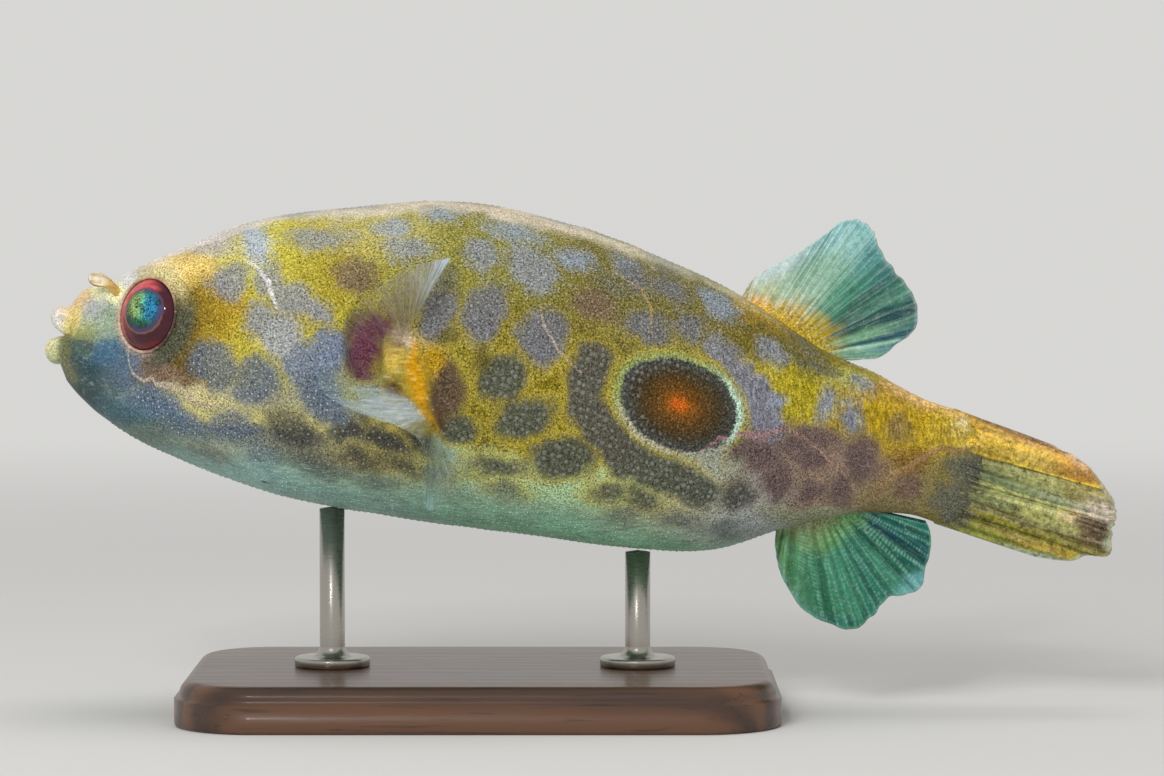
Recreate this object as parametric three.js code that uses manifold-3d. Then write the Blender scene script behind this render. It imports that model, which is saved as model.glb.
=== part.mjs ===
// Freshwater pufferfish, a still life-size model on a plain display stand.
// Millimetres, +Z up, head towards -X. The origin is the middle of the stand's underside.
//
// The fish is drawn in a body frame of its own: x runs back from the mouth, z is up and the
// left side is -y. One function gives the skin's surface there, and the whole fish is then
// pitched nose up and lifted onto its stand.

import * as THREE from "three";
import { mergeVertices } from "three/addons/utils/BufferGeometryUtils.js";
import Module from "manifold-3d";

const { sin, cos, abs, sign, sqrt, PI } = Math;

// ---- driving dimensions ----
const standardLength = 102; // mouth to the root of the tail fin
const pitch = THREE.MathUtils.degToRad(9.5); // nose up
const mouthPlace = new THREE.Vector3(-48, 0, 42.2); // where the mouth ends up over the stand
const gap = 0.3; // clear space left between neighbouring pieces

const headEnd = 33.4; // the head ends just ahead of the gill opening
const trunkEnd = 86; // the trunk ends behind the dorsal and anal fins' middles

// An eye is a thick lens that looks out sideways, forwards and a little up, ringed by a mound.
const eye = { x: 12.2, y: 7.4, z: 4.1, radius: 4.3, depth: 2.9, forward: 38, up: 4 };
const eyeMound = { radius: 5.3, depth: 2.7, sink: 0.7 };
const gill = { x: 35.6, z: 4.2, halfHeight: 4.7, halfWidth: 2.0, depth: 2.0, lean: 14 };
const finLobe = { x: 40.6, z: 1.9, halfLength: 6.6, halfWidth: 2.5, rise: 1.7, lean: 31 };
const nostril = { root: [8.4, 4.4, 4.9], tip: [4.9, 5.3, 6.9], stalk: 0.75, flare: 1.15 };
const mouth = { halfWidth: 3.3, cornerX: 2.5, cornerZ: 0.1, upper: 1.25, lower: 1.5, thin: 0.7 };

const base = { length: 66, width: 42, height: 5, corner: 9, bevel: 0.7 };
const rod = { radius: 1.4, footRadius: 4.2, footHeight: 1.1, fillet: 1.2, x: [-16.5, 17.5] };

// ---- smooth curves through stations ----
// Rows are [t, value, value ...]. Cubic between rows, with the slope at a row taken from its
// two neighbours, so the curve is smooth and passes through every row.
function along(rows, t) {
  const last = rows.length - 1;
  const clamped = Math.min(Math.max(t, rows[0][0]), rows[last][0]);
  let i = 0;
  while (i < last - 1 && rows[i + 1][0] < clamped) i += 1;
  const span = rows[i + 1][0] - rows[i][0];
  const u = (clamped - rows[i][0]) / span;
  const slope = (k, column) => {
    const a = rows[Math.max(k - 1, 0)];
    const b = rows[Math.min(k + 1, last)];
    return (b[column] - a[column]) / (b[0] - a[0]);
  };
  return rows[i].slice(1).map((start, index) => {
    const column = index + 1;
    const end = rows[i + 1][column];
    return (
      start * (1 + 2 * u) * (1 - u) ** 2 +
      span * slope(i, column) * u * (1 - u) ** 2 +
      end * u * u * (3 - 2 * u) +
      span * slope(i + 1, column) * u * u * (u - 1)
    );
  });
}

// ---- the skin's surface ----
// Rows are [x, top, bottom, half width, height of the widest point].
const bodyStations = [
  [1.9, 3.9, -4.0, 2.9, 0.2],
  [3.2, 5.4, -5.25, 4.2, 0.2],
  [5, 6.5, -6.7, 5.4, 0.3],
  [7, 7.7, -8.0, 6.5, 0.5],
  [12, 11.0, -10.2, 8.9, 0.9],
  [20, 15.75, -12.25, 11.9, 1.3],
  [29, 18.8, -13.7, 13.9, 1.5],
  [43, 21.95, -13.85, 14.8, 1.5],
  [57, 21.3, -13.4, 13.7, 1.5],
  [69, 18.7, -12.95, 11.2, 1.7],
  [77, 16.2, -11.65, 8.9, 2.0],
  [85, 12.6, -7.7, 6.2, 2.4],
  [92, 10.6, -5.15, 4.3, 2.6],
  [97.5, 8.8, -4.3, 3.3, 2.3],
  [102, 8.1, -4.95, 2.9, 1.7],
];
const roundness = { back: 2.15, belly: 2.45 };

// A section is two half superellipses that share the widest point, the back's and the belly's.
function skinPoint(x, angle, grow = 0) {
  const [top, bottom, halfWidth, middle] = along(bodyStations, x);
  const up = sin(angle);
  const power = 2 / (up > 0 ? roundness.back : roundness.belly);
  const reach = (up > 0 ? top - middle : middle - bottom) + grow;
  const side = cos(angle);
  return new THREE.Vector3(
    x,
    (halfWidth + grow) * sign(side) * abs(side) ** power,
    middle + reach * sign(up) * abs(up) ** power,
  );
}

// How far the flank stands out from the mid plane at (x, z).
function flank(x, z) {
  const [top, bottom, halfWidth, middle] = along(bodyStations, x);
  const power = z > middle ? roundness.back : roundness.belly;
  const share = abs(z - middle) / (z > middle ? top - middle : middle - bottom);
  return halfWidth * Math.max(1 - Math.min(share, 1) ** power, 0) ** (1 / power);
}

// ---- from geometries to solids ----
const wasm = await Module();
wasm.setup();

// Moves every vertex of a closed geometry by a function, and turns its faces outwards.
function warp(geometry, move) {
  geometry.deleteAttribute("normal");
  geometry.deleteAttribute("uv");
  const merged = mergeVertices(geometry, 1e-5);
  const place = merged.attributes.position;
  const point = new THREE.Vector3();
  for (let i = 0; i < place.count; i += 1) {
    point.fromBufferAttribute(place, i);
    place.setXYZ(i, ...move(point).toArray());
  }
  const index = merged.index.array;
  const [a, b, c] = [new THREE.Vector3(), new THREE.Vector3(), new THREE.Vector3()];
  let volume = 0;
  for (let i = 0; i < index.length; i += 3) {
    [a, b, c].forEach((corner, k) => corner.fromBufferAttribute(place, index[i + k]));
    volume += a.dot(b.cross(c));
  }
  if (volume < 0) index.reverse();
  return merged;
}

function solid(geometry) {
  const closed = warp(geometry, (point) => point);
  return new wasm.Manifold(
    new wasm.Mesh({
      numProp: 3,
      vertProperties: closed.attributes.position.array,
      triVerts: new Uint32Array(closed.index.array),
    }),
  );
}

function geometryOf(manifold) {
  const mesh = manifold.getMesh();
  return new THREE.BufferGeometry()
    .setAttribute("position", new THREE.BufferAttribute(mesh.vertProperties, 3))
    .setIndex(new THREE.BufferAttribute(mesh.triVerts, 1));
}

function ellipsoid(rx, ry, rz, across = 18, down = 10) {
  return new THREE.SphereGeometry(1, across, down).scale(rx, ry, rz);
}

// The body as a capped tube of sections, thicker by grow all round.
function bodySolid(grow, rings = 36, sides = 26) {
  const [start, end] = [bodyStations[0][0] - grow, standardLength + grow];
  const tube = new THREE.CylinderGeometry(1, 1, 1, sides, rings);
  return solid(
    warp(tube, (point) => {
      const x = start + (point.y + 0.5) * (end - start);
      const onSkin = skinPoint(x, Math.atan2(point.z, point.x), grow);
      const [, , , middle] = along(bodyStations, x);
      const share = Math.hypot(point.x, point.z);
      onSkin.x = x;
      onSkin.y *= share;
      onSkin.z = middle + (onSkin.z - middle) * share;
      return onSkin;
    }),
  );
}

// A slab of space between two stations, for parting the body.
function slab(from, to) {
  const box = new THREE.BoxGeometry(to - from, 60, 80).translate((from + to) / 2, 0, 0);
  return solid(box);
}

// ---- eyes ----
// A lens facing along an eye's line of sight. side is -1 on the left and 1 on the right.
function lensSolid(side, radius, depth, sink) {
  const [yaw, lift] = [eye.forward, eye.up].map(THREE.MathUtils.degToRad);
  const sight = new THREE.Vector3(-sin(yaw) * cos(lift), side * cos(yaw) * cos(lift), sin(lift));
  const turn = new THREE.Quaternion().setFromUnitVectors(new THREE.Vector3(0, 0, 1), sight);
  const centre = new THREE.Vector3(eye.x, side * eye.y, eye.z).addScaledVector(sight, -sink);
  const lens = ellipsoid(radius, radius, depth, 18, 10).applyQuaternion(turn);
  return solid(lens.translate(...centre.toArray()));
}

const eyeSolid = (side, grow = 0) => lensSolid(side, eye.radius + grow, eye.depth + grow, 0);
const moundSolid = (side, grow = 0) =>
  lensSolid(side, eyeMound.radius + grow, eyeMound.depth + grow, eyeMound.sink);

// ---- lips ----
// A lip is a tapering roll that arches from one corner of the mouth over to the other.
function lipSolid(up) {
  const roll = new THREE.CylinderGeometry(1, 1, 1, 10, 10);
  const rise = 1.75; // from the corner of the mouth to the roll's middle
  const reach = 0.95; // forward of the corner
  const middle = up > 0 ? mouth.upper : mouth.lower; // half the roll's thickness at the front
  return solid(
    warp(roll, (point) => {
      const swing = point.y * PI;
      const thick = mouth.thin + (middle - mouth.thin) * cos(swing) ** 0.7;
      return new THREE.Vector3(
        mouth.cornerX - reach * cos(swing) + thick * point.x * 1.1,
        mouth.halfWidth * sin(swing) + thick * point.z * sin(swing) * 0.5,
        mouth.cornerZ + up * (0.35 + rise * cos(swing) + thick * point.z * cos(swing / 2)),
      );
    }),
  );
}

// ---- nostrils ----
// A short stalk that flares into a flat flap with a shallow dish in its end.
function nostrilSolid(side) {
  const flip = (p) => new THREE.Vector3(p[0], side * p[1], p[2]);
  const [root, tip] = [flip(nostril.root), flip(nostril.tip)];
  const length = root.distanceTo(tip);
  const profile = [
    [0, 0],
    [nostril.stalk * 1.35, 0],
    [nostril.stalk, length * 0.35],
    [nostril.stalk * 0.95, length * 0.6],
    [nostril.flare, length * 0.92],
    [nostril.flare * 0.86, length],
    [nostril.flare * 0.5, length * 0.93],
    [0, length * 0.9],
  ].map(([r, h]) => new THREE.Vector2(r, h));
  const stalk = new THREE.LatheGeometry(profile, 10);
  stalk.scale(1, 1, 0.8); // the flap is wider than it is thick
  const turn = new THREE.Quaternion().setFromUnitVectors(
    new THREE.Vector3(0, 1, 0),
    tip.clone().sub(root).normalize(),
  );
  return solid(stalk.applyQuaternion(turn).translate(...root.toArray()));
}

// ---- fins ----
// Rows are [share along the fin, x, z]: the root from front to back, and the margin that the
// rays reach. folds is the number of pleats, sway how far they swing sideways at the margin.
const dorsalFin = {
  root: [
    [0, 75.2, 16.3],
    [0.5, 81.2, 13.9],
    [1, 86.8, 11.3],
  ],
  margin: [
    [0, 75.8, 17.6],
    [0.06, 76.3, 18.8],
    [0.13, 78.2, 20.6],
    [0.22, 80.8, 22.7],
    [0.31, 83.3, 25.0],
    [0.38, 84.9, 26.7],
    [0.44, 86.8, 27.3],
    [0.5, 88.5, 26.5],
    [0.56, 89.2, 24.9],
    [0.63, 91.4, 22.6],
    [0.71, 93.6, 20.8],
    [0.78, 94.9, 18.6],
    [0.85, 94.8, 16.0],
    [0.91, 93.2, 14.3],
    [0.96, 91.5, 12.5],
    [1, 89.4, 12.0],
  ],
  folds: 3.5,
  sway: 0.9,
};
const analFin = {
  root: [
    [0, 83.4, -7.4],
    [0.5, 88.0, -5.7],
    [1, 92.8, -4.2],
  ],
  margin: [
    [0, 83.5, -9.6],
    [0.08, 84.2, -11.9],
    [0.16, 85.3, -14.0],
    [0.24, 87.3, -16.2],
    [0.32, 89.6, -17.5],
    [0.4, 92.0, -18.0],
    [0.47, 94.1, -17.8],
    [0.54, 95.9, -15.9],
    [0.61, 97.2, -13.8],
    [0.67, 98.9, -13.1],
    [0.73, 100.4, -12.3],
    [0.8, 100.7, -10.5],
    [0.87, 100.8, -8.6],
    [0.94, 100.6, -6.3],
    [1, 99.8, -4.6],
  ],
  folds: 4,
  sway: 0.8,
};
const finThickness = { root: 1.0, margin: 0.55 };

// Point on a fin's middle surface: a straight ray from the root to the margin, swung sideways
// by the pleats, which grow towards the margin.
function finPoint(fin, share, out) {
  const [rx, rz] = along(fin.root, share);
  const [mx, mz] = along(fin.margin, share);
  const swing = fin.sway * out ** 1.3 * sin(2 * PI * fin.folds * share);
  return new THREE.Vector3(rx + (mx - rx) * out, swing, rz + (mz - rz) * out);
}

function medianFin(fin, rays = 24, steps = 4) {
  const sheet = new THREE.BoxGeometry(1, 1, 1, rays, steps, 1);
  return solid(
    warp(sheet, (point) => {
      const out = point.y + 0.5;
      const thick = finThickness.root + (finThickness.margin - finThickness.root) * out;
      const middle = finPoint(fin, point.x + 0.5, out);
      middle.y += point.z * thick;
      return middle;
    }),
  );
}

// The tail fin is folded shut: a thick bundle of pleats that thins towards the margin.
const tailFin = {
  root: [
    [0, 101.3, 8.15],
    [1, 101.3, -4.85],
  ],
  margin: [
    [0, 112.4, 5.9],
    [0.13, 116.0, 4.6],
    [0.24, 118.2, 3.1],
    [0.36, 119.8, 1.3],
    [0.5, 120.5, -0.6],
    [0.65, 120.5, -3.0],
    [0.78, 120.3, -5.2],
    [0.85, 118.2, -5.5],
    [0.92, 116.0, -6.4],
    [1, 112.6, -6.5],
  ],
  folds: 4,
  sway: 0.35,
  rootHalfThickness: 2.5,
  marginHalfThickness: 0.75,
};

function tailFinSolid(rays = 24, steps = 4) {
  const sheet = new THREE.BoxGeometry(1, 1, 1, rays, steps, 2);
  return solid(
    warp(sheet, (point) => {
      const [share, out] = [point.x + 0.5, point.y + 0.5];
      const { rootHalfThickness: thick, marginHalfThickness: thin } = tailFin;
      const bundle = sqrt(Math.max(1 - (2 * share - 1) ** 2, 0));
      const pleat = 1 + 0.2 * out ** 0.5 * cos(2 * PI * tailFin.folds * share);
      const half = 0.3 + (thick + (thin - thick) * out ** 0.8) * bundle * pleat;
      const middle = finPoint(tailFin, share, out);
      middle.y += 2 * point.z * half;
      return middle;
    }),
  );
}

// The chest fin is a cupped fan. Rows are [share, x, stand-off from the flank, z] from its upper
// ray to its lowest: the upper rays lie back, the middle ones reach forward and out, and the
// lower ones hang down.
const chestFin = {
  root: [
    [0, 39.8, 0.4, 7.6],
    [0.3, 40.3, 0.9, 5.0],
    [0.5, 41.8, 1.1, 1.4],
    [0.7, 43.4, 0.7, -1.5],
    [1, 44.8, 0.3, -3.2],
  ],
  margin: [
    [0, 43.3, 5.2, 16.1],
    [0.07, 41.3, 5.7, 15.4],
    [0.14, 38.6, 6.1, 14.1],
    [0.22, 35.9, 6.5, 11.4],
    [0.29, 33.8, 6.7, 8.6],
    [0.35, 32.8, 6.7, 6.4],
    [0.41, 32.0, 6.6, 4.2],
    [0.47, 31.4, 6.5, 2.0],
    [0.52, 31.5, 6.3, 0.5],
    [0.57, 32.5, 6.0, -0.5],
    [0.62, 34.6, 5.6, -1.4],
    [0.67, 38.0, 5.0, -2.2],
    [0.72, 41.2, 4.4, -2.8],
    [0.76, 43.2, 4.2, -3.9],
    [0.8, 44.3, 4.6, -6.4],
    [0.85, 45.0, 5.2, -11.2],
    [0.91, 47.0, 4.8, -9.9],
    [0.96, 48.8, 4.2, -6.9],
    [1, 49.6, 3.4, -4.5],
  ],
  bow: 1.0, // how far a ray bows outwards half way along
  thickness: 0.6,
};

function chestFinPoint(share, out) {
  const [rx, rOff, rz] = along(chestFin.root, share);
  const [mx, mOff, mz] = along(chestFin.margin, share);
  const [x, z] = [rx + (mx - rx) * out, rz + (mz - rz) * out];
  const [fromBody, toBody] = [flank(rx, rz) + rOff, flank(mx, mz) + mOff];
  const bow = chestFin.bow * 4 * out * (1 - out);
  return new THREE.Vector3(x, fromBody + (toBody - fromBody) * out + bow, z);
}

function chestFinSolid(side, rays = 28, steps = 4) {
  const sheet = new THREE.BoxGeometry(1, 1, 1, rays, steps, 1);
  const step = 0.01;
  return solid(
    warp(sheet, (point) => {
      const share = THREE.MathUtils.clamp(point.x + 0.5, step, 1 - step);
      const out = THREE.MathUtils.clamp(point.y + 0.5, step, 1 - step);
      const across = chestFinPoint(share + step, out).sub(chestFinPoint(share - step, out));
      const outward = chestFinPoint(share, out + step).sub(chestFinPoint(share, out - step));
      const normal = across.cross(outward).normalize();
      const middle = chestFinPoint(point.x + 0.5, point.y + 0.5);
      middle.addScaledVector(normal, point.z * chestFin.thickness);
      middle.y *= side;
      return middle;
    }),
  );
}

// The fleshy lobe that carries a chest fin, and the gill opening ahead of it: ellipsoids that
// lean back with the flank.
function onFlank(shape, side, rx, ry, rz, sink) {
  const turn = new THREE.Quaternion().setFromAxisAngle(
    new THREE.Vector3(0, 1, 0),
    -THREE.MathUtils.degToRad(shape.lean),
  );
  const y = side * (flank(shape.x, shape.z) - sink);
  return solid(ellipsoid(rx, ry, rz, 16, 10).applyQuaternion(turn).translate(shape.x, y, shape.z));
}

// ---- stand ----
function baseSolid() {
  const { length, width, height, corner, bevel } = base;
  const [hx, hy] = [length / 2 - bevel, width / 2 - bevel];
  const outline = new THREE.Shape();
  outline.moveTo(-hx + corner, -hy);
  outline.lineTo(hx - corner, -hy);
  outline.absarc(hx - corner, -hy + corner, corner, -PI / 2, 0);
  outline.lineTo(hx, hy - corner);
  outline.absarc(hx - corner, hy - corner, corner, 0, PI / 2);
  outline.lineTo(-hx + corner, hy);
  outline.absarc(-hx + corner, hy - corner, corner, PI / 2, PI);
  outline.lineTo(-hx, -hy + corner);
  outline.absarc(-hx + corner, -hy + corner, corner, PI, (3 * PI) / 2);
  const plate = new THREE.ExtrudeGeometry(outline, {
    depth: height - 2 * bevel,
    bevelThickness: bevel,
    bevelSize: bevel,
    bevelSegments: 1,
    curveSegments: 5,
  });
  return solid(plate.translate(0, 0, bevel));
}

// A round rod on a low foot, tall enough to run into the belly, where it is cut off.
function rodSolid(x) {
  const { radius, footRadius, footHeight, fillet } = rod;
  const profile = [new THREE.Vector2(0, 0), new THREE.Vector2(footRadius, 0)];
  profile.push(new THREE.Vector2(footRadius, footHeight * 0.6));
  profile.push(new THREE.Vector2(footRadius - 0.4, footHeight));
  for (let i = 0; i <= 3; i += 1) {
    const turn = (i / 3) * (PI / 2);
    profile.push(
      new THREE.Vector2(
        radius + fillet * (1 - sin(turn)),
        footHeight + fillet * (1 - cos(turn)),
      ),
    );
  }
  const top = 30;
  profile.push(new THREE.Vector2(radius, top), new THREE.Vector2(0, top));
  const lathe = new THREE.LatheGeometry(profile, 14).rotateX(PI / 2);
  return solid(lathe.translate(x, 0, base.height));
}

// ---- assembly ----
const looks = {
  skin: { color: 0xa89a3c, roughness: 0.45, metalness: 0 },
  lips: { color: 0xd8cdb4, roughness: 0.4, metalness: 0 },
  medianFins: { color: 0x6fb09a, roughness: 0.4, metalness: 0 },
  tailFin: { color: 0xb99a3a, roughness: 0.45, metalness: 0 },
  chestFins: { color: 0xa8b4a4, roughness: 0.35, metalness: 0 },
  finLobes: { color: 0xd09a24, roughness: 0.45, metalness: 0 },
  eyes: { color: 0x7a2030, roughness: 0.08, metalness: 0 },
  wood: { color: 0x4a2f1c, roughness: 0.5, metalness: 0 },
  steel: { color: 0xc4c6c8, roughness: 0.3, metalness: 1 },
};

const part = new THREE.Group();
const fish = new THREE.Group();
fish.rotation.y = pitch;
fish.position.copy(mouthPlace);
part.add(fish);

function add(group, name, look, manifold) {
  const mesh = new THREE.Mesh(geometryOf(manifold), new THREE.MeshStandardMaterial(looks[look]));
  mesh.name = name;
  group.add(mesh);
}

const body = bodySolid(0);
const bodyWithGap = bodySolid(gap);
const sides = { left: -1, right: 1 };
const sideValues = Object.values(sides);

const lobe = (side, grow = 0) =>
  onFlank(
    finLobe,
    side,
    finLobe.halfWidth + grow,
    finLobe.rise + 1 + grow,
    finLobe.halfLength + grow,
    1,
  );
const gillCut = (side) => onFlank(gill, side, gill.halfWidth, gill.depth, gill.halfHeight, 0);
const mouthPocket = solid(ellipsoid(3.4, 2.5, 0.8, 16, 8).translate(1.6, 0, mouth.cornerZ));

let fleshParts = body;
sideValues.forEach((side) => {
  fleshParts = fleshParts.add(moundSolid(side));
});
sideValues.forEach((side) => {
  fleshParts = fleshParts.subtract(eyeSolid(side, gap)).subtract(gillCut(side));
});
fleshParts = fleshParts.subtract(mouthPocket);
add(fish, "head", "skin", fleshParts.intersect(slab(-10, headEnd - gap / 2)));
add(fish, "trunk", "skin", fleshParts.intersect(slab(headEnd + gap / 2, trunkEnd - gap / 2)));
add(fish, "tail", "skin", fleshParts.intersect(slab(trunkEnd + gap / 2, standardLength - gap)));

add(fish, "upper_lip", "lips", lipSolid(1).subtract(bodyWithGap));
add(fish, "lower_lip", "lips", lipSolid(-1).subtract(bodyWithGap));

add(fish, "dorsal_fin", "medianFins", medianFin(dorsalFin).subtract(bodyWithGap));
add(fish, "anal_fin", "medianFins", medianFin(analFin).subtract(bodyWithGap));
add(fish, "tail_fin", "tailFin", tailFinSolid().subtract(bodyWithGap));

for (const [name, side] of Object.entries(sides)) {
  add(fish, `eye_${name}`, "eyes", eyeSolid(side));
  const nose = nostrilSolid(side).subtract(bodyWithGap).subtract(moundSolid(side, gap));
  add(fish, `nostril_${name}`, "lips", nose);
  add(fish, `pectoral_lobe_${name}`, "finLobes", lobe(side).subtract(bodyWithGap));
  const fin = chestFinSolid(side).subtract(bodyWithGap).subtract(lobe(side, gap));
  add(fish, `pectoral_fin_${name}`, "chestFins", fin);
}

// The rods are cut in the part's own frame, so the fish's clearance shape is moved there.
fish.updateMatrixWorld(true);
const placedBody = solid(geometryOf(bodyWithGap).applyMatrix4(fish.matrixWorld));
add(part, "stand_base", "wood", baseSolid());
["front", "rear"].forEach((name, i) => {
  const cut = rodSolid(rod.x[i]).subtract(placedBody).decompose();
  const lowest = cut.sort((a, b) => a.boundingBox().min[2] - b.boundingBox().min[2])[0];
  add(part, `stand_rod_${name}`, "steel", lowest);
});

export default part;
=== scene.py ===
# A freshwater pufferfish on a plain display stand: skin, spinules, eyes, fins, stand and studio.
import math

import bmesh
import bpy
import numpy as np
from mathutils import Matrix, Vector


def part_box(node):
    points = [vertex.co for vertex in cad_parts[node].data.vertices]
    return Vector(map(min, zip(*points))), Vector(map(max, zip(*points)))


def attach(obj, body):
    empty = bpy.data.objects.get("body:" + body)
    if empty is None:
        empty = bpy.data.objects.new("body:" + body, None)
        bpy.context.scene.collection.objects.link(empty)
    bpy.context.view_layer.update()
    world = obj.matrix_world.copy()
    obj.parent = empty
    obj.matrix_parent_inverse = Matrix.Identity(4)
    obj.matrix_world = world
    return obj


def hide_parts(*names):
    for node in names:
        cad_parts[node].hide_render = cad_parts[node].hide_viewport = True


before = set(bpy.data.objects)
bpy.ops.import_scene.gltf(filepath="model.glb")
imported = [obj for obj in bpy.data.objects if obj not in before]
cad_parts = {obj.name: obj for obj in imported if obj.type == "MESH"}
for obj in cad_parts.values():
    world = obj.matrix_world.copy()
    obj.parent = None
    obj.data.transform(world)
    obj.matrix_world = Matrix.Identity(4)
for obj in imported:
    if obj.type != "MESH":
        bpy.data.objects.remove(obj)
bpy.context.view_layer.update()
print("frame loaded")


# The fish is worked out in a body frame in millimetres: x runs back from the mouth, z is up
# and the left side is -y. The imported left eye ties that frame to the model.
body = {
    "pitch": 9.5,  # nose up, degrees
    "eye": (12.2, 7.4, 4.1),  # the eye's middle, y to its own side
    "length": 102.0,  # mouth to the end of the flesh
    # x, top, bottom, half width, height of the widest point
    "stations": [
        (1.9, 3.9, -4.0, 2.9, 0.2),
        (3.2, 5.4, -5.25, 4.2, 0.2),
        (5, 6.5, -6.7, 5.4, 0.3),
        (7, 7.7, -8.0, 6.5, 0.5),
        (12, 11.0, -10.2, 8.9, 0.9),
        (20, 15.75, -12.25, 11.9, 1.3),
        (29, 18.8, -13.7, 13.9, 1.5),
        (43, 21.95, -13.85, 14.8, 1.5),
        (57, 21.3, -13.4, 13.7, 1.5),
        (69, 18.7, -12.95, 11.2, 1.7),
        (77, 16.2, -11.65, 8.9, 2.0),
        (85, 12.6, -7.7, 6.2, 2.4),
        (92, 10.6, -5.15, 4.3, 2.6),
        (97.5, 8.8, -4.3, 3.3, 2.3),
        (102, 8.1, -4.95, 2.9, 1.7),
    ],
    "backRound": 2.15,
    "bellyRound": 2.45,
}
pitchCos = math.cos(math.radians(body["pitch"]))
pitchSin = math.sin(math.radians(body["pitch"]))
eyeMiddle = (np.array(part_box("eye_left")[0]) + np.array(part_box("eye_left")[1])) * 500
mouthAt = (
    eyeMiddle[0] - body["eye"][0] * pitchCos - body["eye"][2] * pitchSin,
    eyeMiddle[2] + body["eye"][0] * pitchSin - body["eye"][2] * pitchCos,
)


# Body frame in millimetres to the model's metres: pitched about y, then moved to the mouth.
def toModel(points):
    x, y, z = points[..., 0], points[..., 1], points[..., 2]
    back = mouthAt[0] + x * pitchCos + z * pitchSin
    height = mouthAt[1] - x * pitchSin + z * pitchCos
    return np.stack([back, y, height], axis=-1) / 1000


# Smooth curve through rows of (t, values): a cubic between rows, with the slope at each row
# taken from the rows beside it.
def along(rows, t):
    rows = np.asarray(rows, float)
    knots, values = rows[:, 0], rows[:, 1:]
    t = np.clip(np.asarray(t, float), knots[0], knots[-1])
    before = np.maximum(np.arange(len(rows)) - 1, 0)
    after = np.minimum(np.arange(len(rows)) + 1, len(rows) - 1)
    slopes = (values[after] - values[before]) / (knots[after] - knots[before])[:, None]
    i = np.clip(np.searchsorted(knots, t, side="right") - 1, 0, len(rows) - 2)
    span = (knots[i + 1] - knots[i])[..., None]
    u = (t - knots[i])[..., None] / span
    return (
        values[i] * (1 + 2 * u) * (1 - u) ** 2
        + span * slopes[i] * u * (1 - u) ** 2
        + values[i + 1] * u * u * (3 - 2 * u)
        + span * slopes[i + 1] * u * u * (u - 1)
    )


# 0 below low, 1 above high, and an S-curve between.
def ease(low, high, t):
    u = np.clip((t - low) / (high - low), 0, 1)
    return u * u * (3 - 2 * u)


# Smooth noise from -1 to 1: random values on a cubic lattice, blended by S-curves along each
# axis. cell is the lattice spacing.
def softNoise(points, cell, seed):
    size = 32
    lattice = np.random.default_rng(seed).random((size, size, size))
    place = points / cell
    whole = np.floor(place).astype(int)
    part = place - whole
    part = part * part * (3 - 2 * part)
    total = np.zeros(points.shape[:-1])
    for corner in np.ndindex(2, 2, 2):
        weight = np.prod(np.where(corner, part, 1 - part), axis=-1)
        at = (whole + corner) % size
        total += weight * lattice[at[..., 0], at[..., 1], at[..., 2]]
    return total * 2 - 1


# Two smooth noises side by side: a stray along the body and one in height.
def softPair(points, cell, seed):
    return np.stack([softNoise(points, cell, seed), softNoise(points, cell, seed + 1)], axis=-1)


# A colour written 0-255 as it looks on screen, in the linear values that materials take.
def tint(red, green, blue):
    c = np.array([red, green, blue], float) / 255
    return np.where(c <= 0.04045, c / 12.92, ((c + 0.055) / 1.055) ** 2.4)


# Quads over a grid of rows and columns, wrapped round the columns when closed.
def gridFaces(rows, columns, closed=False):
    across = columns if closed else columns - 1
    i, j = np.meshgrid(np.arange(rows - 1), np.arange(across), indexing="ij")
    nextJ = (j + 1) % columns
    quads = [i * columns + j, i * columns + nextJ, (i + 1) * columns + nextJ, (i + 1) * columns + j]
    return np.stack(quads, axis=-1).reshape(-1, 4)


# Unit normals of a grid of points: the cross product of its two central differences.
def gridNormals(points, closed=False):
    if closed:
        across = np.roll(points, -1, axis=1) - np.roll(points, 1, axis=1)
    else:
        across = np.gradient(points, axis=1)
    down = np.gradient(points, axis=0)
    normal = np.cross(across, down)
    return normal / np.maximum(np.linalg.norm(normal, axis=-1, keepdims=True), 1e-9)


# A grid of numbers or colours as one row per point.
def flat(grid):
    return grid.reshape(-1, 3) if grid.ndim == 3 else grid.ravel()


# Closes poles and seams by merging points that lie in one place.
def weld(mesh):
    work = bmesh.new()
    work.from_mesh(mesh)
    bmesh.ops.remove_doubles(work, verts=work.verts, dist=1e-6)
    work.to_mesh(mesh)
    work.free()


# Makes one mesh object of shells in the body frame. A shell is (points, groups of faces,
# values), and values maps an attribute's name to a number or a colour for each point.
# patches gives each point its place on a map.
def addPiece(name, shells, material, node=(), patches=None):
    mesh = bpy.data.meshes.new(name)
    points = np.concatenate([shell[0] for shell in shells])
    starts = np.cumsum([0] + [len(shell[0]) for shell in shells])
    faces = []
    for start, shell in zip(starts, shells):
        for group in shell[1]:
            faces += (group + start).tolist()
    mesh.from_pydata(toModel(points).tolist(), [], faces)
    mesh.shade_smooth()
    for key in shells[0][2]:
        value = np.concatenate([np.asarray(shell[2][key], np.float32) for shell in shells])
        if value.ndim == 1:
            mesh.attributes.new(key, "FLOAT", "POINT").data.foreach_set("value", value)
        else:
            colour = np.concatenate([value, np.ones((len(value), 1), np.float32)], axis=1)
            layer = mesh.attributes.new(key, "FLOAT_COLOR", "POINT")
            layer.data.foreach_set("color", colour.ravel())
    if patches is not None:
        corners = np.empty(len(mesh.loops), int)
        mesh.loops.foreach_get("vertex_index", corners)
        mesh.uv_layers.new(name="OFBake").data.foreach_set("uv", patches[corners].ravel())
    weld(mesh)
    mesh.materials.append(material)
    piece = bpy.data.objects.new(name, mesh)
    bpy.context.scene.collection.objects.link(piece)
    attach(piece, "root")
    if node:
        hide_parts(*node)


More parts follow.
